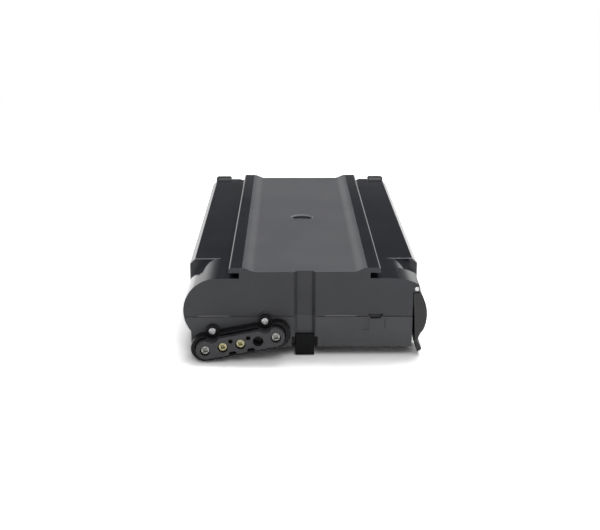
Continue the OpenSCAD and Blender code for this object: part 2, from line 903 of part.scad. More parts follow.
// Section of the rear cover, with the corner rails' outline
module boxy_outline(i) {
    difference() {
        body_outline(i, i);
        for (s = [0, 1]) mirror([s, 0]) translate([rail_x - i, rail_bottom_z])
            square([body_w, shoulder_r]);
    }
    for (s = [0, 1]) mirror([s, 0]) polygon([[bulge_x, bulge_z], [bulge_x, wing_z - i],
        [rail_x - rail_chamfer - i / 2, wing_z - i],
        [rail_x - i, wing_z - rail_chamfer - i / 2], [rail_x - i, bulge_z]]);
}

module cover_plan(low, high) {
    r = cover_corner_r;
    translate([0, 0, low]) linear_extrude(height = high - low) {
        translate([-body_w / 2, 0]) square([body_w, cover_y1 - r]);
        translate([r - body_w / 2, 0]) square([body_w - 2 * r, cover_y1]);
        for (s = [-1, 1]) translate([s * (body_w / 2 - r), cover_y1 - r]) circle(r = r);
    }
}

module rear_cover() {
    color([0.21, 0.22, 0.25]) placed() difference() {
        union() {
            intersection() {
                union() {
                    difference() {
                        along_y(cover_y0, cover_y1) boxy_outline(0);
                        along_y(cover_y0 - over, cover_y1 - wall) body_outline(wall, wall);
                    }
                    along_y(cover_y0, cover_y1) intersection() {
                        boxy_outline(0);
                        union() for (s = [0, 1]) mirror([s, 0])
                            translate([arm_x0 - hub_clear - hub_pocket_wall, bulge_z])
                                square([body_w, shoulder_r]);
                    }
                }
                cover_plan(0, wing_z + over);
            }
            for (s = [-1, 1]) for (z = cover_screw_z)
                rod_y(cover_y0, cover_y1 - wall / 2, s * cover_screw_x, z, cover_column_r);
            both_sides() {
                rod_x(ear_x0, ear_x1, pivot_y, pivot_z, ear_boss_r);
                block([ear_x0, cover_y1 - wall / 2, pivot_z - ear_boss_r],
                    [ear_x1, pivot_y, pivot_z + ear_boss_r]);
            }
            // Stakes that hold the gauge board
            for (x = [-1, 1]) for (z = [0, 1])
                rod_y(gauge_board_y + gauge_board_t, cover_y1 - wall / 2,
                    x * (gauge_board_w / 2 - gauge_stake_inset), gauge_board_z0 + gauge_stake_inset
                        + z * (gauge_board_h - 2 * gauge_stake_inset), gauge_stake_r);
        }
        both_sides() {
            rod_x(arm_x0 - hub_clear, body_w, pivot_y, pivot_z, hub_r + hub_clear);
            rod_x(ear_x0 - over, ear_x1 + over, pivot_y, pivot_z, pivot_tip_r + run_gap);
        }
        for (s = [-1, 1]) for (z = cover_screw_z) {
            rod_y(cover_y0 - over, cover_y1 + over, s * cover_screw_x, z, screw_hole_r);
            rod_y(cover_y1 - screw_head_h, cover_y1 + over, s * cover_screw_x, z,
                screw_head_r + slip);
        }
        block([gauge_x - gauge_w / 2, cover_y1 - wall - over, gauge_z - gauge_h / 2],
            [gauge_x + gauge_w / 2, cover_y1 + over, gauge_z + gauge_h / 2]);
        rod_y(cover_y1 - wall - over, cover_y1 + over, button_x, gauge_z, button_r + button_gap);
    }
}

module rear_cover_gasket() {
    color([0.07, 0.07, 0.07]) placed() along_y(shell_l, cover_y0) difference() {
        body_outline(cover_gasket_inset, rail_t + cover_gasket_side);
        body_outline(wall + cover_gasket_inset, wall + rail_t + cover_gasket_in);
        for (s = [-1, 1]) for (z = cover_screw_z)
            translate([s * cover_screw_x, z]) circle(r = screw_hole_r);
    }
}

module rear_cover_screws() {
    color([0.3, 0.3, 0.31]) placed() for (s = [-1, 1]) for (z = cover_screw_z)
        translate([s * cover_screw_x, cover_y1 - screw_head_h, z]) rotate([-90, 0, 0])
            difference() {
                pan_screw(screw_head_r, screw_head_h - slip, screw_r, cover_screw_l);
                cross_slot(screw_head_r, screw_head_h / 2, screw_head_h - slip);
            }
}

module latch_screw() {
    color([0.8, 0.8, 0.8]) placed()
        translate([0, latch_y, latch_floor_z - latch_head_h]) difference() {
            pan_screw(latch_head_r, latch_head_h, latch_shank_r,
                latch_floor_z - latch_head_h - latch_boss_z + latch_nut_h);
            cross_slot(latch_head_r, latch_head_h / 2, latch_head_h);
        }
}

module latch_nut() {
    color([0.72, 0.6, 0.3]) placed() difference() {
        translate([0, latch_y, latch_boss_z - latch_nut_h])
            cylinder(r = latch_nut_r, h = latch_nut_h, $fn = 6);
        rod_z(latch_boss_z - 2 * latch_nut_h, latch_boss_z + over, 0, latch_y,
            latch_shank_r + run_gap);
    }
}

module front_foot() {
    color([0.09, 0.1, 0.1]) placed() {
        // Nose that stands in the notch and closes the foot of the channel
        block([-foot_w / 2, foot_set_back, ground_gap - over],
            [foot_w / 2, foot_set_back + foot_tip_l, foot_z]);
        block([-foot_w / 2, foot_set_back, ground_gap - over], [foot_w / 2, notch_l - slip, notch_z]);
        // Pad under the floor, rounded towards the front
        along_x(-foot_w / 2, foot_w / 2) {
            translate([foot_set_back + foot_edge_r, 0])
                square([foot_l - foot_edge_r, ground_gap]);
            translate([foot_set_back, foot_edge_r]) square([foot_l, ground_gap - foot_edge_r]);
            translate([foot_set_back + foot_edge_r, foot_edge_r]) circle(r = foot_edge_r);
        }
    }
}

module rear_feet() {
    color([0.09, 0.1, 0.1]) placed() both_sides()
        translate([rear_foot_x, shell_l - rear_foot_back, 0]) rotate_extrude()
            polygon([[0, 0], [rear_foot_r - rear_foot_edge, 0], [rear_foot_r, rear_foot_edge],
                [rear_foot_r, ground_gap], [0, ground_gap]]);
}

module at_connector() {
    translate([conn_x, 0, conn_z]) rotate([0, -conn_tilt, 0]) children();
}

module capsule(half, r) {
    translate([-half, -r]) square([2 * half, 2 * r]);
    for (s = [-1, 1]) translate([s * half, 0]) circle(r = r);
}

module throat_outline(g) {
    translate([throat_u[0] - g, throat_v[0] - g])
        square([throat_u[1] - throat_u[0] + 2 * g, throat_v[1] - throat_v[0] + 2 * g]);
}

// Rim of the connector housing, sloped round its front edge
module boot_solid() {
    mouth_r = boot_r - boot_chamfer;
    slope_y = boot_chamfer - boot_reach;
    translate([0, 0, boot_v]) {
        along_y(slope_y, -conn_gasket_t) capsule(boot_half, boot_r);
        for (s = [-1, 1]) translate([s * boot_half, -boot_reach, 0]) rotate([-90, 0, 0])
            cylinder(r1 = mouth_r, r2 = boot_r, h = boot_chamfer);
        along_x(-boot_half, boot_half) polygon([[-boot_reach, -mouth_r], [slope_y, -boot_r],
            [slope_y, boot_r], [-boot_reach, mouth_r]]);
    }
}

module insert_solid(front, back, g) {
    translate([0, 0, insert_v]) along_y(front, back) capsule(insert_half, insert_r + g);
}

module connector_housing() {
    color([0.1, 0.1, 0.11]) placed() at_connector() difference() {
        union() {
            difference() {
                boot_solid();
                insert_solid(-boot_reach - over, -insert_seat, insert_slip);
                insert_solid(-boot_reach - over, boot_groove_l - boot_reach, boot_groove_w);
            }
            for (u = conn_screw_u) rod_y(-boss_reach, -conn_gasket_t, u, conn_screw_v, boss_r);
            along_y(-conn_gasket_t - over, wall) throat_outline(0);
        }
        along_y(-insert_seat - over, wall + over) throat_outline(-throat_wall);
        // Screw holes, and the round bites in the rim in front of the bosses
        for (u = conn_screw_u) {
            rod_y(-boot_reach, 0, u, conn_screw_v, conn_screw_r + run_gap);
            rod_y(-boot_reach - over, -boss_reach, u, conn_screw_v, bite_r);
            rod_y(-boot_reach, conn_head_y, u, conn_screw_v, head_pocket_r);
        }
    }
}

module connector_insert() {
    color([0.3, 0.29, 0.31]) placed() at_connector() difference() {
        insert_solid(-conn_reach, -insert_seat, 0);
        for (k = [-2, -1, 0, 2]) rod_y(-conn_reach - over, -conn_reach + well_depth,
            k * contact_pitch, contact_v, well_r);
        for (k = [-1, 0])
            rod_y(-conn_reach, 0, k * contact_pitch, contact_v, tail_r + run_gap);
        rod_y(-conn_reach - over, -insert_seat - 2 * over, contact_pitch, contact_v, guide_r);
        for (s = [-1, 1]) {
            rod_y(-conn_reach - over, -conn_reach + signal_well_l, s * signal_u, signal_v,
                signal_well_r);
            rod_y(-conn_reach, 0, s * signal_u, signal_v, signal_tail_r + run_gap);
            rod_y(-conn_reach - over, -conn_reach + well_depth, s * key_u, insert_v - insert_r,
                key_r);
        }
        for (u = conn_screw_u) rod_y(-conn_reach - over, 0, u, conn_screw_v, bite_r);
    }
}

module connector_gasket() {
    color([0.05, 0.05, 0.05]) placed() difference() {
        at_connector() along_y(-conn_gasket_t, 0) difference() {
            union() {
                translate([0, boot_v]) capsule(boot_half, boot_r - conn_gasket_inset);
                for (u = conn_screw_u) translate([u, conn_screw_v])
                    circle(r = boss_r - conn_gasket_inset);
            }
            throat_outline(slip);
            for (u = conn_screw_u) translate([u, conn_screw_v]) circle(r = conn_screw_r + slip);
        }
        block([-body_w, -body_w, -body_w], [body_w, body_w, ground_gap + conn_gasket_inset]);
    }
}

module connector_screws() {
    color([0.78, 0.78, 0.8]) placed() at_connector() for (u = conn_screw_u)
        translate([u, conn_head_y, conn_screw_v]) rotate([90, 0, 0]) difference() {
            pan_screw(conn_head_r, conn_head_h, conn_screw_r, conn_screw_l);
            cross_slot(conn_head_r, conn_head_h * 0.6, conn_head_h);
        }
}

// Turned contact with a split bore, its mouth towards -Y
module contact(r, bore_r, length, tail, tail_radius) {
    difference() {
        rod_y(0, length, 0, 0, r);
        rod_y(-over, length / 2, 0, 0, bore_r);
        for (a = [45, 135]) rotate([0, a, 0])
            block([-r / 9, -over, -1.4 * bore_r], [r / 9, length / 3, 1.4 * bore_r]);
    }
    if (tail > 0) rod_y(length / 2 + slip, length + tail, 0, 0, tail_radius);
}

module power_contacts() {
    color([0.8, 0.68, 0.35]) placed() at_connector() for (k = [-1, 0])
        translate([k * contact_pitch, contact_front - conn_reach, contact_v])
            contact(contact_r, contact_r * 0.5, well_depth - contact_front, tail_l, tail_r);
}

module guide_bushes() {
    color([0.75, 0.75, 0.75]) placed() at_connector() for (k = [-2, 2])
        translate([k * contact_pitch, contact_front - conn_reach, contact_v])
            contact(contact_r, contact_r * 0.62, well_depth - contact_front, 0, 0);
}

module signal_contacts() {
    color([0.72, 0.62, 0.35]) placed() at_connector() for (s = [-1, 1])
        translate([s * signal_u, signal_front - conn_reach, signal_v])
            contact(signal_r, signal_r * 0.5, signal_well_l - signal_front, signal_tail_l,
                signal_tail_r);
}

// Section of the closed flap in its bowed part and its finger lip
module flap_outline() {
    face_x = flap_x + flap_face;
    top = asin((bow_top_z - bow_z) / flap_bow_r);
    low = asin((bow_foot_z - bow_z) / flap_bow_r);
    foot_x = bow_x + flap_bow_r * cos(low);
    waist_x = face_x + waist_t;
    polygon(concat(
        [[face_x, bow_top_z]],
        arc(bow_x, bow_z, flap_bow_r, top, low, 12),
        [for (i = [1:6]) let (t = i / 6)
            [foot_x + (waist_x - foot_x) * sin(90 * t),
            bow_foot_z + (waist_z - bow_foot_z) * t]],
        arc(waist_x + bead_out, flap_tip_z + bead_rise, bead_r, 60, -90, 6),
        [[face_x + tip_draft + tip_chamfer, flap_tip_z],
            [face_x + tip_draft, flap_tip_z + tip_chamfer], [face_x, flap_tip_z + draft_rise]]));
}

module flap_pocket_outline() {
    intersection() {
        translate([bow_x, bow_z]) circle(r = flap_bow_r - flap_skin, $fn = 96);
        translate([flap_x - over, pocket_low_z + flap_skin])
            square([flap_step + 2 * over, pocket_high_z - pocket_low_z - flap_skin]);
    }
}

module flap() {
    color([0.2, 0.2, 0.2]) placed() translate([hinge_x, 0, hinge_z]) rotate([0, -flap_ajar, 0])
        translate([-hinge_x, 0, -hinge_z]) difference() {
            union() {
                along_y(flap_front, flap_back) flap_outline();
                // Below the ears the flap reaches past both of them
                along_y(0, flap_end_y) intersection() {
                    flap_outline();
                    translate([flap_x, 0]) square([flap_step * 2, hinge_z - ear_r - ear_clear]);
                }
                rod_y(flap_front, flap_back, hinge_x, hinge_z, barrel_r);
            }
            along_y(flap_end_t, flap_end_y - flap_end_t) flap_pocket_outline();
            rod_y(flap_front - over, flap_back + over, hinge_x, hinge_z,
                hinge_pin_r + run_gap);
        }
}

module flap_hinge_pin() {
    color([0.9, 0.9, 0.9]) placed() {
        rod_y(0, flap_l - slip, hinge_x, hinge_z, hinge_pin_r);
        rod_y(-pin_head_t, 0, hinge_x, hinge_z, ear_r - pin_head_inset);
    }
}

module charge_socket() {
    color([0.12, 0.12, 0.13]) placed() difference() {
        union() {
            rod_x(flap_x - socket_l, flap_x + port_flange_t / 2, socket_y, port_z, port_r);
            rod_x(flap_x, flap_x + port_flange_t, socket_y, port_z, port_flange_r);
        }
        difference() {
            rod_x(flap_x - socket_l + wall, flap_x + port_flange_t + over, socket_y, port_z,
                socket_bore_r);
            rod_x(flap_x - socket_l, flap_x, socket_y, port_z, socket_pin_r);
        }
    }
}

module fuse_holder() {
    color([0.1, 0.1, 0.1]) placed() difference() {
        union() {
            rod_x(flap_x - fuse_l, flap_x + port_flange_t / 2, fuse_y, port_z, fuse_port_r);
            rod_x(flap_x, flap_x + port_flange_t, fuse_y, port_z, fuse_flange_r);
        }
        rod_x(flap_x - fuse_l + wall, flap_x + port_flange_t + over, fuse_y, port_z,
            fuse_tube_r);
    }
}

module fuse_cap() {
    color([0.16, 0.16, 0.17]) placed() difference() {
        union() {
            rod_x(flap_x + port_flange_t, flap_x + port_flange_t + fuse_cap_t, fuse_y, port_z,
                fuse_cap_r);
            rod_x(flap_x - wall, flap_x + port_flange_t + over / 2, fuse_y, port_z,
                fuse_tube_r - run_gap);
        }
        block([flap_x + port_flange_t + fuse_cap_t / 2, fuse_y - fuse_cap_r,
            port_z - fuse_cap_t / 3], [flap_x + flap_step, fuse_y + fuse_cap_r,
            port_z + fuse_cap_t / 3]);
    }
}

module fuse() {
    color([0.85, 0.85, 0.8]) placed()
        rod_x(flap_x - fuse_l + wall, flap_x - wall, fuse_y, port_z, fuse_r);
}

module panel_nut(y, nut_r, bore_r) {
    difference() {
        translate([flap_x - wall - port_nut_t, y, port_z]) rotate([0, 90, 0])
            cylinder(r = nut_r, h = port_nut_t, $fn = 6);
        rod_x(flap_x - 2 * fuse_l, flap_x, y, port_z, bore_r + run_gap);
    }
}

module panel_nuts() {
    color([0.7, 0.7, 0.7]) placed() {
        panel_nut(socket_y, port_nut_r, port_r);
        panel_nut(fuse_y, fuse_nut_r, fuse_port_r);
    }
}

// One cell holder between x = a and x = b, open to the cells on the side of its lip
module cell_holder(a, b, lip_a) {
    color([0.2, 0.2, 0.21]) placed() difference() {
        block([a, pack_y0, pack_z0], [b, pack_y1, pack_z1]);
        for (k = [1:cell_columns]) for (n = [0, 1]) {
            rod_x(lip_a ? a + holder_lip : a - over, lip_a ? b + over : b - holder_lip,
                column_y(k), layer_z(n), holder_bore_r);
            rod_x(a - over, b + over, column_y(k), layer_z(n), holder_window_r);
        }
    }
}

module cell_holder_left_outer() {
    cell_holder(-outer_x1, holder_t - outer_x1, true);
}

module cell_holder_left_inner() {
    cell_holder(-inner_x0 - holder_t, -inner_x0, false);
}

module cell_holder_right_inner() {
    cell_holder(inner_x0, inner_x0 + holder_t, true);
}

module cell_holder_right_outer() {
    cell_holder(outer_x1 - holder_t, outer_x1, false);
}

// One cell on the z axis, with its crimp groove and its raised contact at the top
module cell() {
    h = cell_l - cell_shoulder;
    groove = h - cell_groove_at;
    rotate_extrude() polygon([[0, 0], [cell_r - cell_edge, 0], [cell_r, cell_edge],
        [cell_r, groove], [cell_r - cell_groove, groove + cell_edge],
        [cell_r - cell_groove, groove + 2 * cell_edge], [cell_r, groove + 3 * cell_edge],
        [cell_r, h - cell_edge], [cell_r - cell_edge, h], [cell_cap_r, h], [cell_cap_r, cell_l],
        [0, cell_l]]);
}

// Four cells side by side, turned the other way in every second column
module cell_group(k) {
    outward = k % 2 == 1;
    color([0.25, 0.5, 0.35]) placed() for (n = [0, 1]) both_sides()
        translate([outward ? cell_x0 : cell_x1, column_y(k), layer_z(n)])
            rotate([0, outward ? 90 : -90, 0]) cell();
}

// Strip from x = a to x = b that joins the ends of columns k0 to k1
module strip(a, b, k0, k1) {
    difference() {
        block([a, column_y(k0) - holder_window_r, pack_z0 + strip_margin],
            [b, column_y(k1) + holder_window_r, pack_z1 - strip_margin]);
        for (k = [k0:k1]) for (n = [0, 1])
            block([a - over, column_y(k) - strip_slot_w / 2, layer_z(n) - strip_slot_l / 2],
                [b + over, column_y(k) + strip_slot_w / 2, layer_z(n) + strip_slot_l / 2]);
    }
}

module strips_left() {
    color([0.78, 0.78, 0.76]) placed() for (k = [1:2:cell_columns])
        strip(-outer_x1 - strip_t, -outer_x1, k, min(k + 1, cell_columns));
}

module strips_right() {
    mirror([1, 0, 0]) strips_left();
}

module strips_middle() {
    color([0.78, 0.78, 0.76]) placed() {
        strip(-inner_x0, inner_x0, 1, 1);
        for (k = [2:2:cell_columns - 1]) strip(-inner_x0, inner_x0, k, k + 1);
    }
}

module foam_pads() {
    color([0.3, 0.3, 0.32]) placed() {
        both_sides() block([foam_x0, foam_y0, pack_z1], [foam_x1, foam_y1, roof_z]);
        block([-rear_foam_w / 2, pack_y1, rear_foam_z0],
            [rear_foam_w / 2, shell_l - wall, rear_foam_z0 + rear_foam_h]);
    }
}

module bms_board() {
    color([0.1, 0.35, 0.2]) placed() difference() {
        block([board_x0, board_y0, board_z], [board_x1, board_y1, board_top_z]);
        for (p = posts) rod_z(board_z - over, board_top_z + over, p[0], p[1],
            stake_r + run_gap);
    }
}

module bms_parts() {
    color([0.12, 0.12, 0.12]) placed() {
        for (k = [0:mosfets - 1]) translate([mosfet_x0 + k * mosfet_pitch, mosfet_y0, board_top_z])
            cube([mosfet_w, mosfet_l, mosfet_h]);
        for (k = [0:2]) rod_z(board_top_z, board_top_z + capacitor_h,
            capacitor_x0 + k * mosfet_pitch, board_y1 - capacitor_inset, capacitor_r);
        block([plug_x - header_l / 2, plug_y - header_w / 2, board_top_z],
            [plug_x + header_l / 2, plug_y + header_w / 2, board_top_z + header_h]);
    }
}

module heat_sink() {
    low = board_top_z + mosfet_h;
    wide = mosfet_pitch * mosfets;
    color([0.65, 0.66, 0.68]) placed() {
        block([mosfet_x0, mosfet_y0, low], [mosfet_x0 + wide, mosfet_y0 + mosfet_l,
            low + sink_t - sink_fin_h]);
        for (k = [0:sink_fins - 1])
            translate([mosfet_x0, mosfet_y0 + k * (mosfet_l - sink_fin_t) / (sink_fins - 1),
                low + sink_t - sink_fin_h]) cube([wide, sink_fin_t, sink_fin_h]);
    }
}

// Round lead along a list of points, with a ball at each bend
module lead(points, r) {
    for (i = [0:len(points) - 2]) {
        d = points[i + 1] - points[i];
        l = norm(d);
        translate(points[i]) rotate([0, acos(d[2] / l), atan2(d[1], d[0])])
            cylinder(r = r, h = l, $fn = 24);
        if (i > 0) translate(points[i]) sphere(r = r, $fn = 24);
    }
}

module battery_leads() {
    x0 = outer_x1 + strip_t;
    color([0.6, 0.1, 0.1]) placed() {
        lead([[-x0, column_y(1), lead_z], [-lead_side_x, column_y(1), lead_z],
            [-lead_side_x, lead_bend_y, lead_z], [board_x0 + lead_pad_left, lead_bend_y, lead_z],
            [board_x0 + lead_pad_left, lead_bend_y, board_top_z]], battery_lead_r);
        lead([[x0, column_y(cell_columns), lead_z], [lead_side_x, column_y(cell_columns), lead_z],
            [lead_side_x, lead_bend_y, lead_z], [board_x1 - lead_pad_right, lead_bend_y, lead_z],
            [board_x1 - lead_pad_right, lead_bend_y, board_top_z]], battery_lead_r);
    }
}

module connector_leads() {
    tail_y = well_depth + tail_l - conn_reach;
    color([0.1, 0.1, 0.1]) placed() {
        for (k = [-1, 0]) {
            p = conn_place(k * contact_pitch, contact_v);
            lead([[p[0], tail_y, p[1]], [p[0], board_y0 + connector_pad, p[1]],
                [p[0], board_y0 + connector_pad, board_z]], connector_lead_r);
        }
        for (s = [-1, 1]) {
            p = conn_place(s * signal_u, signal_v);
            lead([[p[0], tail_y, p[1]], [p[0], board_y0 + signal_pad, p[1]],
                [p[0], board_y0 + signal_pad, board_z]], signal_lead_r);
        }
    }
}

module charge_leads() {
    color([0.15, 0.15, 0.4]) placed() {
        lead([[flap_x - socket_l, socket_y, port_z], [board_x1 - socket_pad, socket_y, port_z],
            [board_x1 - socket_pad, fuse_y, port_z], [board_x1 - socket_pad, fuse_y, board_top_z]],
            charge_lead_r);
        lead([[flap_x - fuse_l, fuse_y, port_z], [board_x1 - charge_pad, fuse_y, port_z],
            [board_x1 - charge_pad, fuse_y, board_top_z]], charge_lead_r);
    }
}

module board_leads() {
    connector_leads();
    charge_leads();
}

module gauge_cable() {
    color([0.75, 0.75, 0.75]) placed()
        lead([[plug_x, plug_y, board_top_z + header_h], [plug_x, plug_y, cable_z],
            [plug_x, gauge_board_y, cable_z]], cable_r);
}

module gauge_board() {
    color([0.1, 0.3, 0.2]) placed() {
        block([-gauge_board_w / 2, gauge_board_y, gauge_board_z0],
            [gauge_board_w / 2, gauge_board_y + gauge_board_t, gauge_board_z0 + gauge_board_h]);
        for (k = [0:led_count - 1])
            rod_y(gauge_board_y, gauge_board_y + gauge_board_t + led_h,
                gauge_x + (k - (led_count - 1) / 2) * led_pitch, gauge_z, led_r);
    }
}

module gauge_lens() {
    color([0.35, 0.38, 0.4]) placed() {
        block([gauge_x - gauge_w / 2 + slip, cover_y1 - wall - slip, gauge_z - gauge_h / 2 + slip],
            [gauge_x + gauge_w / 2 - slip, cover_y1 + gauge_proud, gauge_z + gauge_h / 2 - slip]);
        block([gauge_x - gauge_w / 2 - gauge_flange, cover_y1 - wall - over,
            gauge_z - gauge_h / 2 - gauge_flange],
            [gauge_x + gauge_w / 2 + gauge_flange, cover_y1 - wall,
            gauge_z + gauge_h / 2 + gauge_flange]);
    }
}

module gauge_button() {
    flange_y = cover_y1 - wall - button_gap;
    color([0.4, 0.4, 0.42]) placed() {
        rod_y(flange_y - button_flange_t, cover_y1 + button_proud, button_x, gauge_z, button_r);
        rod_y(flange_y - button_flange_t, flange_y, button_x, gauge_z, button_flange_r);
        rod_y(flange_y - button_flange_t - button_stem_l, flange_y, button_x, gauge_z,
            button_stem_r);
    }
}

module grip_outline(i) {
    y0 = handle_y0 + i;
    z0 = grip_z0 + i;
    r = grip_edge_r - i;
    translate([y0 + r, z0]) square([grip_t - 2 * i - 2 * r, grip_h - 2 * i]);
    translate([y0, z0 + r]) square([grip_t - 2 * i, grip_h - 2 * i - 2 * r]);
    for (a = [0, 1]) for (b = [0, 1])
        translate([y0 + r + a * (grip_t - 2 * i - 2 * r), z0 + r + b * (grip_h - 2 * i - 2 * r)])
            circle(r = r);
}

module handle() {
    color([0.12, 0.12, 0.13]) placed() difference() {
        union() {
            both_sides() {
                translate([arm_x0, pivot_y, pivot_z]) rotate([0, 90, 0]) rotate_extrude()
                    polygon([[0, 0], [hub_r - hub_edge / 2, 0], [hub_r, hub_edge / 2],
                        [hub_r, arm_w - hub_edge], [hub_r - 0.3 * hub_edge, arm_w - 0.3 * hub_edge],
                        [hub_r - hub_edge, arm_w], [0, arm_w]]);
                block([arm_x0, handle_y0, grip_z0 + grip_h / 2],
                    [arm_x1, handle_y0 + arm_t, pivot_z]);
                along_x(sleeve_l / 2, arm_x1) grip_outline(0);
            }
            along_x(-sleeve_l / 2 - over, sleeve_l / 2 + over) grip_outline(sleeve_t);
        }
        both_sides() {
            rod_x(arm_x0 - over, arm_x1 + over, pivot_y, pivot_z, pivot_r + run_gap);
            rod_x(arm_x1 - pivot_head_t, arm_x1 + over, pivot_y, pivot_z, pivot_head_r + slip);
        }
    }
}

module handle_grip() {
    color([0.07, 0.07, 0.07]) placed() difference() {
        along_x(-sleeve_l / 2 + sleeve_gap, sleeve_l / 2 - sleeve_gap) grip_outline(0);
        along_x(-sleeve_l, sleeve_l) grip_outline(sleeve_t - sleeve_gap);
        for (k = [0:sleeve_grooves - 1])
            rod_x(-sleeve_l, sleeve_l, handle_y0 + grip_t,
                grip_z0 + grip_edge_r + k * (grip_h - 2 * grip_edge_r) / (sleeve_grooves - 1),
                sleeve_groove_r / 2);
    }
}

module handle_pivot_screws() {
    color([0.6, 0.6, 0.62]) placed() both_sides() difference() {
        union() {
            rod_x(ear_x0, arm_x0, pivot_y, pivot_z, pivot_tip_r);
            rod_x(ear_x1, arm_x1 - slip, pivot_y, pivot_z, pivot_r);
            rod_x(arm_x1 - pivot_head_t + slip, arm_x1 - slip, pivot_y, pivot_z, pivot_head_r);
        }
        translate([arm_x1 - pivot_head_t / 2, pivot_y, pivot_z]) rotate([0, 90, 0])
            cylinder(r = pivot_tip_r, h = pivot_head_t, $fn = 6);
    }
}

upper_shell();
lower_shell();
shell_gasket();
shell_screws();
corner_rail_left();
corner_rail_right();
rear_cover();
rear_cover_gasket();
rear_cover_screws();
latch_screw();
latch_nut();
front_foot();
rear_feet();
connector_housing();
connector_insert();
connector_gasket();
connector_screws();
power_contacts();
guide_bushes();
signal_contacts();
flap();
flap_hinge_pin();
charge_socket();
fuse_holder();
fuse_cap();
fuse();
panel_nuts();
cell_holder_left_outer();
cell_holder_left_inner();
cell_holder_right_inner();
cell_holder_right_outer();
cell_group(1);  // cell_group_1
cell_group(2);  // cell_group_2
cell_group(3);  // cell_group_3
cell_group(4);  // cell_group_4
cell_group(5);  // cell_group_5
cell_group(6);  // cell_group_6
cell_group(7);  // cell_group_7
cell_group(8);  // cell_group_8
cell_group(9);  // cell_group_9
cell_group(10);  // cell_group_10
cell_group(11);  // cell_group_11
cell_group(12);  // cell_group_12
cell_group(13);  // cell_group_13
strips_left();
strips_middle();
strips_right();
foam_pads();
bms_board();
bms_parts();
heat_sink();
battery_leads();
board_leads();
gauge_cable();
gauge_board();
gauge_lens();
gauge_button();
handle();
handle_grip();
handle_pivot_screws();
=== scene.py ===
"""Looks of a slide-in rack battery: finishes, studio light and camera, in metres."""

import json
import math

import bmesh
import bpy
from mathutils import Matrix, Vector

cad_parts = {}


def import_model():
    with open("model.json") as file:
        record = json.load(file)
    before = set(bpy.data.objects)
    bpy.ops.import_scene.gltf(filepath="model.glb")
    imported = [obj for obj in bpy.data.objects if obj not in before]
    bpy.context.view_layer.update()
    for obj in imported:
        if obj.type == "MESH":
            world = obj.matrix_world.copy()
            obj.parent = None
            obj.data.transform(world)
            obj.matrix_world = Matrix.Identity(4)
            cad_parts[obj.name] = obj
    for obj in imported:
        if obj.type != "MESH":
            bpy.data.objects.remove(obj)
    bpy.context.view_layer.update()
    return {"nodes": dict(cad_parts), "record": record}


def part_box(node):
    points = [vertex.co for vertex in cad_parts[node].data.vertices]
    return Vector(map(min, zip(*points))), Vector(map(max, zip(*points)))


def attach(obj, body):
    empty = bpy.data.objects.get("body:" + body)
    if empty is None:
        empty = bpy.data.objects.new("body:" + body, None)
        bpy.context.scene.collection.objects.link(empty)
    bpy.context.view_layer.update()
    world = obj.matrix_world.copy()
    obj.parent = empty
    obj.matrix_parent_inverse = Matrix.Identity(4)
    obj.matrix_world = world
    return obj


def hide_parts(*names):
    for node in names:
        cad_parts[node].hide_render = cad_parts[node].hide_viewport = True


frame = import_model()

MM = 0.001

# Places on the solids where a finish changes
FRONT_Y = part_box("upper_shell")[0][1]
RAIL_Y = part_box("corner_rail_left")[0][1]
WING_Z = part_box("corner_rail_left")[1][2]
PART_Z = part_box("upper_shell")[0][2]
CONTACT_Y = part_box("power_contacts")[0][1]
ABOVE_WING = 1 * MM
TROUGH_HALF = 46 * MM
WING_HALF = 60 * MM
CHANNEL_HALF = 16 * MM
CHANNEL_DEEP = 6 * MM
LATCH = [(a + b) / 2 for a, b in zip(*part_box("latch_screw"))]
LATCH_R = 10.2 * MM
RIM_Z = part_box("latch_screw")[1][2] + 2.5 * MM

# Painted highlight, as glints, on stretches of the parting line: their middles, half length, and the
# strip's height
SEAM_GLINTS = -67.5 * MM, 26.5 * MM
SEAM_REACH = 13 * MM
SEAM_FADE = 3 * MM
SEAM_MIDDLE = 0.35 * MM
SEAM_HALF = 0.45 * MM
SEAM_STRENGTH = 0.8

# Rounding of the edges that the finishes show
SHELL_EDGE = 0.35 * MM
WING_EDGE = 0.03 * MM
RIM_EDGE = 0.9 * MM
RAIL_EDGE = 0.08 * MM
RAIL_END_EDGE = 1.3 * MM
RAIL_END = 1 * MM
EDGE_TURN = 0.02, 0.2

# How far a face is turned before it counts as facing that way
FACING = 0.5, 0.8

# Polished and grained surfaces
POLISHED_ROUGH = 0.06, 0.12
POLISHED_GRAIN = 0.0015 * MM
SATIN_GRAIN = 0.03 * MM
SATIN_ROUGH = 0.36, 0.44
END_ROUGH = 0.55
MOTTLE_SIZE = 35 * MM
SMEAR_SIZE = 22 * MM
SMEAR_STRETCH = 1.0, 0.35, 1.0
# Depths past the contacts' faces where their painted shade starts and is full
CONTACT_SHADE_DEPTH = 0.7 * MM, 3 * MM

# Pairs of shades that each surface of the shells wanders between
END_UPPER = (60, 61, 65), (66, 67, 71)
END_LOWER = (75, 76, 79), (82, 83, 86)
POLISHED = (36, 38, 44), (42, 44, 50)
TROUGH = (74, 75, 80), (81, 82, 86)

# Painted highlights on edges, the recess rim, the parting line and the rails' front ends, and painted
# shade deep in the contacts
EDGE_HIGHLIGHT = 128, 130, 136
RIM_HIGHLIGHT = 205, 206, 210
SEAM_HIGHLIGHT = 150, 151, 155
RAIL_END_HIGHLIGHT = 226, 228, 232
CONTACT_DEPTH_SHADE = 56, 53, 44

# Sizes of the pieces that the scene makes
FOOT_EDGE = 2.2 * MM
FOOT_CORNER = math.radians(60)
PAN_HEAD_H = 2 * MM
PAN_SHANK_R = 1.5 * MM

# Shares of a pan head: height of its straight rim, radius of its crown, and its recess
HEAD_RIM = 0.35
HEAD_CROWN = 0.62
HEAD_STEPS = 6
RECESS_R = 0.6
RECESS_DEPTH = 0.55
RECESS_ARM = 0.42
RECESS_MIDDLE = 0.95

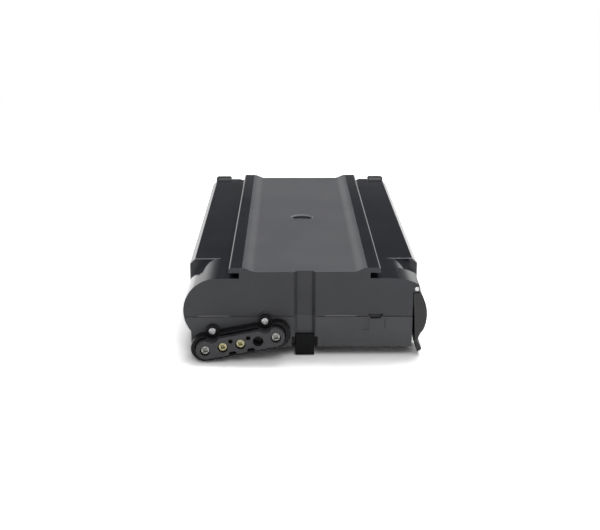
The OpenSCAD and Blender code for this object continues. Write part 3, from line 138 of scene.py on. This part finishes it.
# Floor, room and lamps
FLOOR_SIZE = 40.0
FLOOR_ALBEDO = 0.8
FLOOR_SEEN = 1.95, 1.99
FLOOR_MIRRORED = 1.5
FAR = 0.45, 1.3
AMBIENT = 0.3
CEILING = 0.6
CEILING_BAND = 0.15, 0.6
PANEL_GLOW = 0.06
PANEL_LOW = 0.14, 0.205
PANEL_SIDE = 0.12, 0.36
PANEL_SHIFT = 0.05
LAMP_AIM = 0, 0, 0.03
LAMPS = (
    ("overhead", (0.2, 0.4, 1.4), (1.0, 0.7), 13),
    ("front_fill", (0.3, -1.3, 1.4), (1.0, 0.8), 5),
)

# Camera as fitted to the photograph
CAMERA_AT = -12.27 * MM, -956.85 * MM, 300.92 * MM
CAMERA_DOWN = 16.364
CAMERA_LEFT = 0.64
CLIP = 0.05, 50
SENSOR = 36.0
FOCAL_PIXELS = 1114.96
PHOTO_WIDTH = 600


def srgb(r, g, b):
    """A colour picked in 0 to 255, as the shader's linear numbers."""
    def one(v):
        v = v / 255
        return v / 12.92 if v <= 0.04045 else ((v + 0.055) / 1.055) ** 2.4
    return (one(r), one(g), one(b), 1.0)


class Nodes:
    """Short calls that add shader nodes to one material or world."""

    def __init__(self, tree):
        self.tree = tree
        tree.nodes.clear()

    def add(self, kind, out=0, settings=None, **inputs):
        """A new node with its settings and inputs; returns its output socket."""
        n = self.tree.nodes.new(kind)
        for key, value in (settings or {}).items():
            setattr(n, key, value)
        for key, value in inputs.items():
            socket = n.inputs[int(key[1:])] if key[0] == "i" and key[1:].isdigit() else n.inputs[key]
            if isinstance(value, bpy.types.NodeSocket):
                self.tree.links.new(value, socket)
            else:
                socket.default_value = value
        return n.outputs[out] if n.outputs else None

    def math(self, operation, a, b=0.0):
        return self.add("ShaderNodeMath", settings={"operation": operation}, i0=a, i1=b)

    def times(self, a, b):
        return self.math("MULTIPLY", a, b)

    def absolute(self, a):
        return self.math("ABSOLUTE", a)

    def opposite(self, a):
        """1 where a mask is 0, and 0 where it is 1."""
        return self.math("SUBTRACT", 1.0, a)

    def mix(self, factor, a, b):
        """Colour between a and b."""
        return self.add("ShaderNodeMix", out=2, settings={"data_type": "RGBA"}, i0=factor, i6=a, i7=b)

    def between(self, factor, a, b):
        """Number between a and b."""
        return self.add("ShaderNodeMix", out=0, settings={"data_type": "FLOAT"}, i0=factor, i2=a, i3=b)

    def ramp(self, value, low, high):
        """0 below low and 1 above high, smooth between them."""
        return self.add("ShaderNodeMapRange", settings={"interpolation_type": "SMOOTHSTEP"},
                        i0=value, i1=low, i2=high)

    def noise(self, where, size, detail=2.0, rough=0.5, stretch=None):
        """Noise of about that grain size in metres, optionally stretched along the axes."""
        if stretch:
            where = self.add("ShaderNodeMapping", i0=where, i3=stretch)
        return self.add("ShaderNodeTexNoise", Vector=where, Scale=1 / size, Detail=detail,
                        Roughness=rough)

    def cells(self, where, size):
        return self.add("ShaderNodeTexVoronoi", Vector=where, Scale=1 / size)


def material(name):
    mat = bpy.data.materials.new(name)
    mat.use_nodes = True
    n = Nodes(mat.node_tree)
    n.where = n.add("ShaderNodeTexCoord", out=3)
    return mat, n


def finish_with(n, normal=None, **inputs):
    """Ends a material with the Principled shader."""
    if normal is not None:
        inputs["Normal"] = normal
    shader = n.add("ShaderNodeBsdfPrincipled", **inputs)
    n.add("ShaderNodeOutputMaterial", Surface=shader)


def rounded(n, radius):
    """Normal that rounds the sharp edges by that radius."""
    return n.add("ShaderNodeBevel", settings={"samples": 6}, Radius=radius)


def edge_mask(n, bevel):
    """1 along the sharp edges, 0 on the faces."""
    true_normal = n.add("ShaderNodeNewGeometry", out=1)
    facing = n.add("ShaderNodeVectorMath", out=1, settings={"operation": "DOT_PRODUCT"},
                   i0=bevel, i1=true_normal)
    return n.ramp(n.opposite(facing), *EDGE_TURN)


def bump(n, height, depth, normal):
    return n.add("ShaderNodeBump", Strength=1.0, Distance=depth, Height=height, Normal=normal)


def grainy(n, size, depth, normal):
    """Fine spark-eroded grain of a mould."""
    fine = n.noise(n.where, size, 3.0, 0.6)
    pits = n.cells(n.where, size * 1.7)
    return bump(n, n.math("ADD", fine, n.times(pits, 0.35)), depth, normal)


def moulded(name, colour, rough, grain=0.35 * MM, depth=0.02 * MM, edge_r=0.35 * MM, wear_and_sheen=0.25,
            level=0.5):
    """Plastic with moulded grain, faint mottling and lighter edges, partly wear and partly painted
    highlight.
    """
    mat, n = material(name)
    bevel = rounded(n, edge_r)
    broad = n.noise(n.where, 28 * MM, 3.0)
    base = n.mix(n.ramp(broad, 0.3, 0.7), [c * 0.93 for c in colour[:3]] + [1],
                 [c * 1.07 for c in colour[:3]] + [1])
    # Edges lightened, partly as wear and partly as painted highlight
    rubbed_and_sheen = n.times(edge_mask(n, bevel), wear_and_sheen)
    base = n.mix(rubbed_and_sheen, base, [min(1, c * 1.9 + 0.02) for c in colour[:3]] + [1])
    gloss = n.between(n.noise(n.where, 9 * MM, 4.0), rough - 0.06, rough + 0.06)
    finish_with(n, grainy(n, grain, depth, bevel), **{"Base Color": base, "Roughness": gloss,
                "Specular IOR Level": level})
    return mat


def split(n, vector):
    """The three numbers of a vector."""
    part = n.tree.nodes.new("ShaderNodeSeparateXYZ")
    n.tree.links.new(vector, part.inputs[0])
    return part.outputs


def wander(n, shades):
    """Colour that drifts between two shades over the surface."""
    drift = n.ramp(n.noise(n.where, MOTTLE_SIZE, 3.0), 0.3, 0.7)
    return n.mix(drift, srgb(*shades[0]), srgb(*shades[1]))


def smears(n):
    return n.noise(n.where, SMEAR_SIZE, 4.0, 0.6, SMEAR_STRETCH)


def shell(name):
    """The shells' plastic: satin ends and trough, polished wings, shoulders and lips, with painted
    highlights on edges, the recess rim and stretches of the parting line.
    """
    mat, n = material(name)
    face = split(n, n.add("ShaderNodeNewGeometry", out=1))
    place = split(n, n.where)
    aside = n.absolute(place[0])

    # Satin ends with the channel, but the step at the rear of the wings is polished
    high = n.math("GREATER_THAN", place[2], WING_Z)
    rear_step = n.times(high, n.math("GREATER_THAN", place[1], 0.0))
    end_on = n.times(n.ramp(n.absolute(face[1]), *FACING), n.opposite(rear_step))
    front = n.math("LESS_THAN", place[1], FRONT_Y + CHANNEL_DEEP)
    channel = n.times(front, n.math("LESS_THAN", aside, CHANNEL_HALF))
    end_on = n.math("MAXIMUM", end_on, channel)

    # Satin trough with the wall of the locking recess
    upward = n.ramp(face[2], *FACING)
    above = n.math("GREATER_THAN", place[2], WING_Z + ABOVE_WING)
    inside = n.math("LESS_THAN", aside, TROUGH_HALF)
    across = n.math("SUBTRACT", place[0], LATCH[0])
    along = n.math("SUBTRACT", place[1], LATCH[1])
    from_latch = n.add("ShaderNodeVectorMath", out=1, settings={"operation": "LENGTH"},
                       i0=n.add("ShaderNodeCombineXYZ", i0=across, i1=along))
    at_latch = n.times(n.math("LESS_THAN", from_latch, LATCH_R), above)
    in_trough = n.times(n.times(inside, above), n.math("MAXIMUM", upward, at_latch))
    glossy = n.times(n.opposite(end_on), n.opposite(in_trough))

    beside_rail = n.math("GREATER_THAN", aside, WING_HALF)
    edge_r = n.between(n.times(beside_rail, upward), SHELL_EDGE, WING_EDGE)
    bevel = rounded(n, n.between(at_latch, edge_r, RIM_EDGE))

    # The lower shell's ends are lighter than the upper shell's
    below = n.math("LESS_THAN", place[2], PART_Z)
    ends = n.mix(below, wander(n, END_UPPER), wander(n, END_LOWER))
    floor_of_trough = n.mix(n.ramp(n.noise(n.where, 60 * MM, 2.0), 0.35, 0.65), srgb(*TROUGH[0]),
                            srgb(*TROUGH[1]))
    base = n.mix(glossy, n.mix(in_trough, ends, floor_of_trough), wander(n, POLISHED))
    # Painted highlight along the sharp edges, strongest at the rim of the locking recess
    edge_highlight = n.times(edge_mask(n, bevel), n.between(at_latch, 0.35, 1.0))
    base = n.mix(edge_highlight, base, n.mix(at_latch, srgb(*EDGE_HIGHLIGHT), srgb(*RIM_HIGHLIGHT)))

    # Painted highlight: glints along stretches of the parting line
    off_seam = n.math("SUBTRACT", place[2], PART_Z + SEAM_MIDDLE)
    seam_glint = n.math("LESS_THAN", n.absolute(off_seam), SEAM_HALF)
    away = [n.absolute(n.math("SUBTRACT", place[0], x)) for x in SEAM_GLINTS]
    past = n.ramp(n.math("MINIMUM", *away), SEAM_REACH - SEAM_FADE, SEAM_REACH)
    seam_glint = n.times(seam_glint, n.opposite(past))
    base = n.mix(n.times(seam_glint, SEAM_STRENGTH), base, srgb(*SEAM_HIGHLIGHT))
    # Painted highlight on the recess wall just under its rim
    rim_highlight = n.times(n.times(at_latch, n.math("GREATER_THAN", place[2], RIM_Z)), n.opposite(upward))
    base = n.mix(rim_highlight, base, srgb(*RIM_HIGHLIGHT))

    smear = smears(n)
    satin = n.between(in_trough, END_ROUGH, n.between(smear, *SATIN_ROUGH))
    rough = n.between(glossy, satin, n.between(smear, *POLISHED_ROUGH))
    fine = n.noise(n.where, 0.4 * MM, 3.0, 0.6)
    grain = n.times(fine, n.between(glossy, SATIN_GRAIN, POLISHED_GRAIN))
    finish_with(n, bump(n, grain, 1.0, bevel), **{"Base Color": base, "Roughness": rough})
    return mat


def rail(name):
    """Polished corner rail, its front end a little rounded by the mould, with a painted highlight on
    that end's edges.
    """
    mat, n = material(name)
    at_end = n.math("LESS_THAN", split(n, n.where)[1], RAIL_Y + RAIL_END)
    bevel = rounded(n, n.between(at_end, RAIL_EDGE, RAIL_END_EDGE))
    # Painted highlight along the edges of the rail's front end
    edge_highlight = n.times(edge_mask(n, bevel), at_end)
    base = n.mix(edge_highlight, wander(n, POLISHED), srgb(*RAIL_END_HIGHLIGHT))
    fine = n.noise(n.where, 0.5 * MM, 3.0, 0.6)
    finish_with(n, bump(n, fine, POLISHED_GRAIN, bevel), **{"Base Color": base, "Roughness":
                n.between(smears(n), *POLISHED_ROUGH)})
    return mat


def metal(name, colour, rough, size=0.25 * MM, stretch=(1.0, 12.0, 1.0), depth=0.006 * MM,
          edge_r=0.15 * MM, shaded_past=None):
    """Machined or plated metal with tool marks and small stains, with painted shade deeper than y =
    shaded_past.
    """
    mat, n = material(name)
    bevel = rounded(n, edge_r)
    marks = n.noise(n.where, size, 3.0, 0.6, stretch)
    stain = n.noise(n.where, 3 * MM, 4.0)
    base = n.mix(n.ramp(stain, 0.35, 0.75), colour, [c * 0.8 for c in colour[:3]] + [1])
    if shaded_past is not None:
        # Painted shade deep inside the contacts' bores and wells
        deep_shade = n.ramp(split(n, n.where)[1], *[shaded_past + d for d in CONTACT_SHADE_DEPTH])
        base = n.mix(deep_shade, base, srgb(*CONTACT_DEPTH_SHADE))
    gloss = n.between(marks, rough * 0.7, rough * 1.4)
    finish_with(n, bump(n, marks, depth, bevel), **{"Base Color": base, "Roughness": gloss,
                "Metallic": 1.0})
    return mat


def rubber(name, colour, rough=0.7, grain=0.6 * MM, depth=0.03 * MM, level=0.5):
    """Soft rubber with pores and a dusty bloom."""
    mat, n = material(name)
    bevel = rounded(n, 0.5 * MM)
    dust = n.ramp(n.noise(n.where, 6 * MM, 5.0, 0.65), 0.5, 0.85)
    base = n.mix(n.times(dust, 0.12), colour, srgb(88, 86, 82))
    finish_with(n, grainy(n, grain, depth, bevel), **{"Base Color": base, "Specular IOR Level":
                level, "Roughness": n.between(dust, rough, rough + 0.12)})
    return mat


def cell_wrap(name):
    """Shrink sleeve over a cell's can, with steel showing at the ends."""
    mat, n = material(name)
    face = split(n, n.add("ShaderNodeNewGeometry", out=1))
    end = n.ramp(n.absolute(face[0]), 0.8, 0.95)
    wrinkle = n.noise(n.where, 4 * MM, 4.0, 0.6, (0.3, 1.0, 1.0))
    sleeve = n.mix(wrinkle, srgb(24, 120, 84), srgb(34, 140, 98))
    base = n.mix(end, sleeve, srgb(190, 190, 186))
    bevel = rounded(n, 0.2 * MM)
    finish_with(n, bump(n, wrinkle, 0.05 * MM, bevel), **{"Base Color": base, "Metallic": end,
                "Roughness": n.between(end, 0.28, 0.35)})
    return mat


def circuit_board(name):
    """Green solder resist over copper runs."""
    mat, n = material(name)
    runs = n.add("ShaderNodeTexBrick", out=1, Vector=n.where, Scale=260.0)
    base = n.mix(n.ramp(runs, 0.2, 0.8), srgb(14, 74, 42), srgb(30, 104, 58))
    speck = n.noise(n.where, 2 * MM, 3.0)
    base = n.mix(n.times(speck, 0.2), base, srgb(10, 50, 30))
    bevel = rounded(n, 0.1 * MM)
    finish_with(n, bump(n, runs, 0.02 * MM, bevel), **{"Base Color": base, "Roughness":
                n.between(speck, 0.25, 0.4)})
    return mat


def foam(name):
    mat, n = material(name)
    pores = n.cells(n.where, 0.9 * MM)
    bevel = rounded(n, 0.6 * MM)
    base = n.mix(n.ramp(pores, 0.1, 0.6), srgb(34, 34, 38), srgb(74, 74, 80))
    finish_with(n, bump(n, pores, 0.3 * MM, bevel), **{"Base Color": base, "Roughness": 0.92})
    return mat


def lens(name):
    """Smoked window with a faint grey haze."""
    mat, n = material(name)
    bevel = rounded(n, 0.5 * MM)
    haze = n.noise(n.where, 7 * MM, 3.0)
    base = n.mix(haze, srgb(28, 30, 34), srgb(44, 47, 52))
    finish_with(n, bevel, **{"Base Color": base, "Roughness": n.between(haze, 0.04, 0.1),
                "Transmission Weight": 0.35, "Coat Weight": 0.6, "Coat Roughness": 0.03})
    return mat


def glass(name):
    mat, n = material(name)
    streak = n.noise(n.where, 5 * MM, 2.0)
    finish_with(n, None, **{"Base Color": n.mix(streak, srgb(225, 232, 228), srgb(240, 244, 242)),
                "Roughness": n.between(streak, 0.02, 0.06), "Transmission Weight": 0.9})
    return mat


FINISHES = {
    "shell": shell,
    "rail": rail,
    "seal": lambda s: rubber(s, srgb(22, 22, 23)),
    "steel": lambda s: metal(s, srgb(214, 214, 215), 0.42),
    "dark_steel": lambda s: metal(s, srgb(58, 58, 60), 0.35),
    "polished_steel": lambda s: metal(s, srgb(214, 214, 214), 0.3),
    "brass": lambda s: metal(s, srgb(196, 170, 104), 0.28),
    "foot_rubber": lambda s: rubber(s, srgb(20, 21, 21), 0.6, level=0.15),
    "connector_black": lambda s: moulded(s, srgb(17, 18, 20), 0.36, 0.3 * MM, 0.01 * MM, 0.5 * MM,
                                         0.12, 0.2),
    "connector_grey": lambda s: moulded(s, srgb(56, 55, 59), 0.45, 0.3 * MM, 0.012 * MM, 0.3 * MM),
    "gold_contact": lambda s: metal(s, srgb(178, 172, 134), 0.34, shaded_past=CONTACT_Y),
    "nickel": lambda s: metal(s, srgb(166, 166, 163), 0.34, shaded_past=CONTACT_Y),
    "flap": lambda s: moulded(s, srgb(46, 46, 47), 0.5, 0.35 * MM, 0.02 * MM),
    "fuse_glass": glass,
    "holder": lambda s: moulded(s, srgb(48, 48, 52), 0.55),
    "cell": cell_wrap,
    "foam": foam,
    "board": circuit_board,
    "component": lambda s: moulded(s, srgb(28, 28, 30), 0.45, 0.2 * MM, 0.01 * MM, 0.2 * MM),
    "heat_sink": lambda s: metal(s, srgb(196, 198, 202), 0.35),
    "red_lead": lambda s: rubber(s, srgb(168, 26, 24), 0.45, 0.8 * MM, 0.01 * MM),
    "black_lead": lambda s: rubber(s, srgb(26, 26, 27), 0.45, 0.8 * MM, 0.01 * MM),
    "grey_lead": lambda s: rubber(s, srgb(150, 150, 152), 0.45, 0.8 * MM, 0.01 * MM),
    "lens": lens,
    "button": lambda s: rubber(s, srgb(84, 85, 88), 0.55, 0.5 * MM, 0.02 * MM),
    "handle": lambda s: moulded(s, srgb(27, 27, 29), 0.32, 0.45 * MM, 0.012 * MM, 0.6 * MM, 0.1,
                                0.25),
    "grip_rubber": lambda s: rubber(s, srgb(24, 24, 25), 0.65, 0.7 * MM, 0.05 * MM),
}


def dress():
    """Gives every CAD node the finish of its slot in the record."""
    made = {slot: recipe(slot) for slot, recipe in FINISHES.items()}
    for part in frame["record"]["subparts"]:
        mesh = frame["nodes"][part["node"]].data
        mesh.materials.clear()
        mesh.materials.append(made[part["material_slot"]])
    return made


def turned(name, rings, sides=40):
    """Mesh turned about Z from rings of (radius, height), closed at both ends."""
    mesh = bmesh.new()
    loops = []
    for radius, height in rings:
        loops.append([mesh.verts.new((radius * math.cos(2 * math.pi * k / sides),
                                      radius * math.sin(2 * math.pi * k / sides), height))
                      for k in range(sides)])
    mesh.faces.new(list(reversed(loops[0])))
    mesh.faces.new(loops[-1])
    for low, up in zip(loops, loops[1:]):
        for k in range(sides):
            j = (k + 1) % sides
            mesh.faces.new((low[k], low[j], up[j], up[k]))
    data = bpy.data.meshes.new(name)
    mesh.to_mesh(data)
    mesh.free()
    piece = bpy.data.objects.new(name, data)
    bpy.context.scene.collection.objects.link(piece)
    return piece


def bar(size, middle):
    """Square bar that cuts one slot of a cross recess."""
    bpy.ops.mesh.primitive_cube_add(size=1)
    cutter = bpy.context.object
    cutter.data.transform(Matrix.Translation(middle) @ Matrix.Diagonal((*size, 1)))
    return cutter


def cross_recess(piece, radius, depth, top):
    """Cuts a cross recess in the top of a screw head, with its arms widest at the middle."""
    long, arm, inner = 2 * radius, RECESS_ARM * radius, RECESS_MIDDLE * radius
    for size in ((long, arm), (arm, long), (inner, inner)):
        cutter = bar((*size, 2 * depth), (0, 0, top))
        cut = piece.modifiers.new("recess", "BOOLEAN")
        cut.operation = "DIFFERENCE"
        cut.object = cutter
        graph = bpy.context.evaluated_depsgraph_get()
        data = bpy.data.meshes.new_from_object(piece.evaluated_get(graph))
        piece.modifiers.clear()
        piece.data = data
        bpy.data.objects.remove(cutter)


def pan_screw(name, head_r, head_h, shank_r, shank_l, place, aim):
    """Pan head screw with a cross recess, its head's seat at the place, facing along aim."""
    rings = [(shank_r, -shank_l), (shank_r, 0), (head_r, 0), (head_r, HEAD_RIM * head_h)]
    for step in range(1, HEAD_STEPS + 1):
        turn = math.radians(90 * step / HEAD_STEPS)
        rings.append((head_r * (HEAD_CROWN + (1 - HEAD_CROWN) * math.cos(turn)),
                      head_h * (HEAD_RIM + (1 - HEAD_RIM) * math.sin(turn))))
    piece = turned(name, rings)
    cross_recess(piece, RECESS_R * head_r, RECESS_DEPTH * head_h, head_h)
    turn = Vector(aim).to_track_quat("Z", "Y").to_matrix().to_4x4()
    piece.data.transform(Matrix.Translation(place) @ turn)
    return piece


def screws(made):
    """The connector's two screws in the solids' own place, with rounder heads and wider recesses."""
    corners = [v.co for v in frame["nodes"]["connector_screws"].data.vertices]
    middle = sum(c.x for c in corners) / len(corners)
    for side, group in (("left", [c for c in corners if c.x < middle]),
                        ("right", [c for c in corners if c.x > middle])):
        front, back = min(c.y for c in group), max(c.y for c in group)
        wide = [min(c.x for c in group), max(c.x for c in group)]
        tall = [min(c.z for c in group), max(c.z for c in group)]
        screw = pan_screw("connector_screw_" + side, (wide[1] - wide[0]) / 2, PAN_HEAD_H,
                          PAN_SHANK_R, back - front - PAN_HEAD_H,
                          (sum(wide) / 2, front + PAN_HEAD_H, sum(tall) / 2), (0, -1, 0))
        screw.data.materials.append(made["steel"])
        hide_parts("connector_screws")
        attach(screw, "housing")


def foot():
    """Front foot with the rounded edges of moulded rubber, in the solid's own outline."""
    mesh = bmesh.new()
    mesh.from_mesh(frame["nodes"]["front_foot"].data)
    bmesh.ops.remove_doubles(mesh, verts=mesh.verts, dist=0.001 * MM)
    bmesh.ops.dissolve_limit(mesh, angle_limit=math.radians(1), verts=mesh.verts, edges=mesh.edges)
    sharp = [e for e in mesh.edges if len(e.link_faces) == 2
             and e.calc_face_angle_signed() > FOOT_CORNER]
    bmesh.ops.bevel(mesh, geom=sharp, offset=FOOT_EDGE, segments=4, profile=0.5, affect="EDGES",
                    clamp_overlap=True)
    data = frame["nodes"]["front_foot"].data.copy()
    data.name = "front_foot_pad"
    mesh.to_mesh(data)
    mesh.free()
    piece = bpy.data.objects.new("front_foot_pad", data)
    bpy.context.scene.collection.objects.link(piece)
    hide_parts("front_foot")
    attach(piece, "housing")


def floor():
    """White floor that keeps the shadow and is as white as the backdrop further off."""
    bpy.ops.mesh.primitive_plane_add(size=FLOOR_SIZE)
    plane = bpy.context.object
    plane.name = "floor"
    mat, n = material("floor")
    path = n.tree.nodes.new("ShaderNodeLightPath").outputs
    mirrored = n.math("MAXIMUM", path["Is Glossy Ray"], path["Is Transmission Ray"])
    seen = n.math("MAXIMUM", path["Is Camera Ray"], mirrored)
    paper = n.noise(n.where, 0.3, 2.0)
    level = n.between(mirrored, FLOOR_ALBEDO, FLOOR_MIRRORED)
    level = n.between(path["Is Camera Ray"], level, n.between(paper, *FLOOR_SEEN))
    colour = n.add("ShaderNodeCombineXYZ", i0=level, i1=level, i2=level)
    diffuse = n.add("ShaderNodeBsdfDiffuse", Color=colour)
    distance = n.add("ShaderNodeVectorMath", out=1, settings={"operation": "LENGTH"}, i0=n.where)
    far = n.times(n.ramp(distance, *FAR), seen)
    white = n.add("ShaderNodeEmission", Strength=1.0)
    surface = n.add("ShaderNodeMixShader", i0=far, i1=diffuse, i2=white)
    n.add("ShaderNodeOutputMaterial", Surface=surface)
    plane.data.materials.append(mat)


def world():
    """White to the camera; to the object a pale room with a dark panel ahead and behind."""
    w = bpy.data.worlds.new("studio")
    bpy.context.scene.world = w
    w.use_nodes = True
    n = Nodes(w.node_tree)
    direction = split(n, n.add("ShaderNodeTexCoord", out=0))
    height = direction[2]
    sideways = n.math("DIVIDE", direction[0], n.math("MAXIMUM", n.absolute(direction[1]), 0.001))
    sideways = n.absolute(n.math("SUBTRACT", sideways, PANEL_SHIFT))
    raised = n.ramp(height, *PANEL_LOW)
    dark = n.times(raised, n.opposite(n.ramp(sideways, *PANEL_SIDE)))
    bright = n.between(n.ramp(height, *CEILING_BAND), 1.0, CEILING)
    room = n.between(dark, bright, PANEL_GLOW)
    path = n.tree.nodes.new("ShaderNodeLightPath").outputs
    seen = n.math("MAXIMUM", path["Is Glossy Ray"], path["Is Transmission Ray"])
    strength = n.between(seen, AMBIENT, room)
    strength = n.between(path["Is Camera Ray"], strength, 1.0)
    background = n.add("ShaderNodeBackground", Color=(1, 1, 1, 1), Strength=strength)
    n.add("ShaderNodeOutputWorld", Surface=background)


def lamp(name, place, size, power):
    """Soft rectangular lamp that faces the object."""
    data = bpy.data.lights.new(name, "AREA")
    data.shape = "RECTANGLE"
    data.size, data.size_y = size
    data.energy = power
    lamp_object = bpy.data.objects.new(name, data)
    bpy.context.scene.collection.objects.link(lamp_object)
    lamp_object.location = place
    toward = Vector(LAMP_AIM) - Vector(place)
    lamp_object.rotation_euler = toward.to_track_quat("-Z", "Y").to_euler()


def lights():
    for name, place, size, power in LAMPS:
        lamp(name, place, size, power)


def camera():
    data = bpy.data.cameras.new("camera")
    data.sensor_width = SENSOR
    data.lens = SENSOR * FOCAL_PIXELS / PHOTO_WIDTH
    data.clip_start, data.clip_end = CLIP
    cam = bpy.data.objects.new("camera", data)
    bpy.context.scene.collection.objects.link(cam)
    cam.location = CAMERA_AT
    cam.rotation_euler = (math.radians(90 - CAMERA_DOWN), 0, -math.radians(CAMERA_LEFT))
    bpy.context.scene.camera = cam


camera()
floor()
world()
lights()
screws(dress())
foot()
bpy.context.scene.view_settings.view_transform = "Standard"
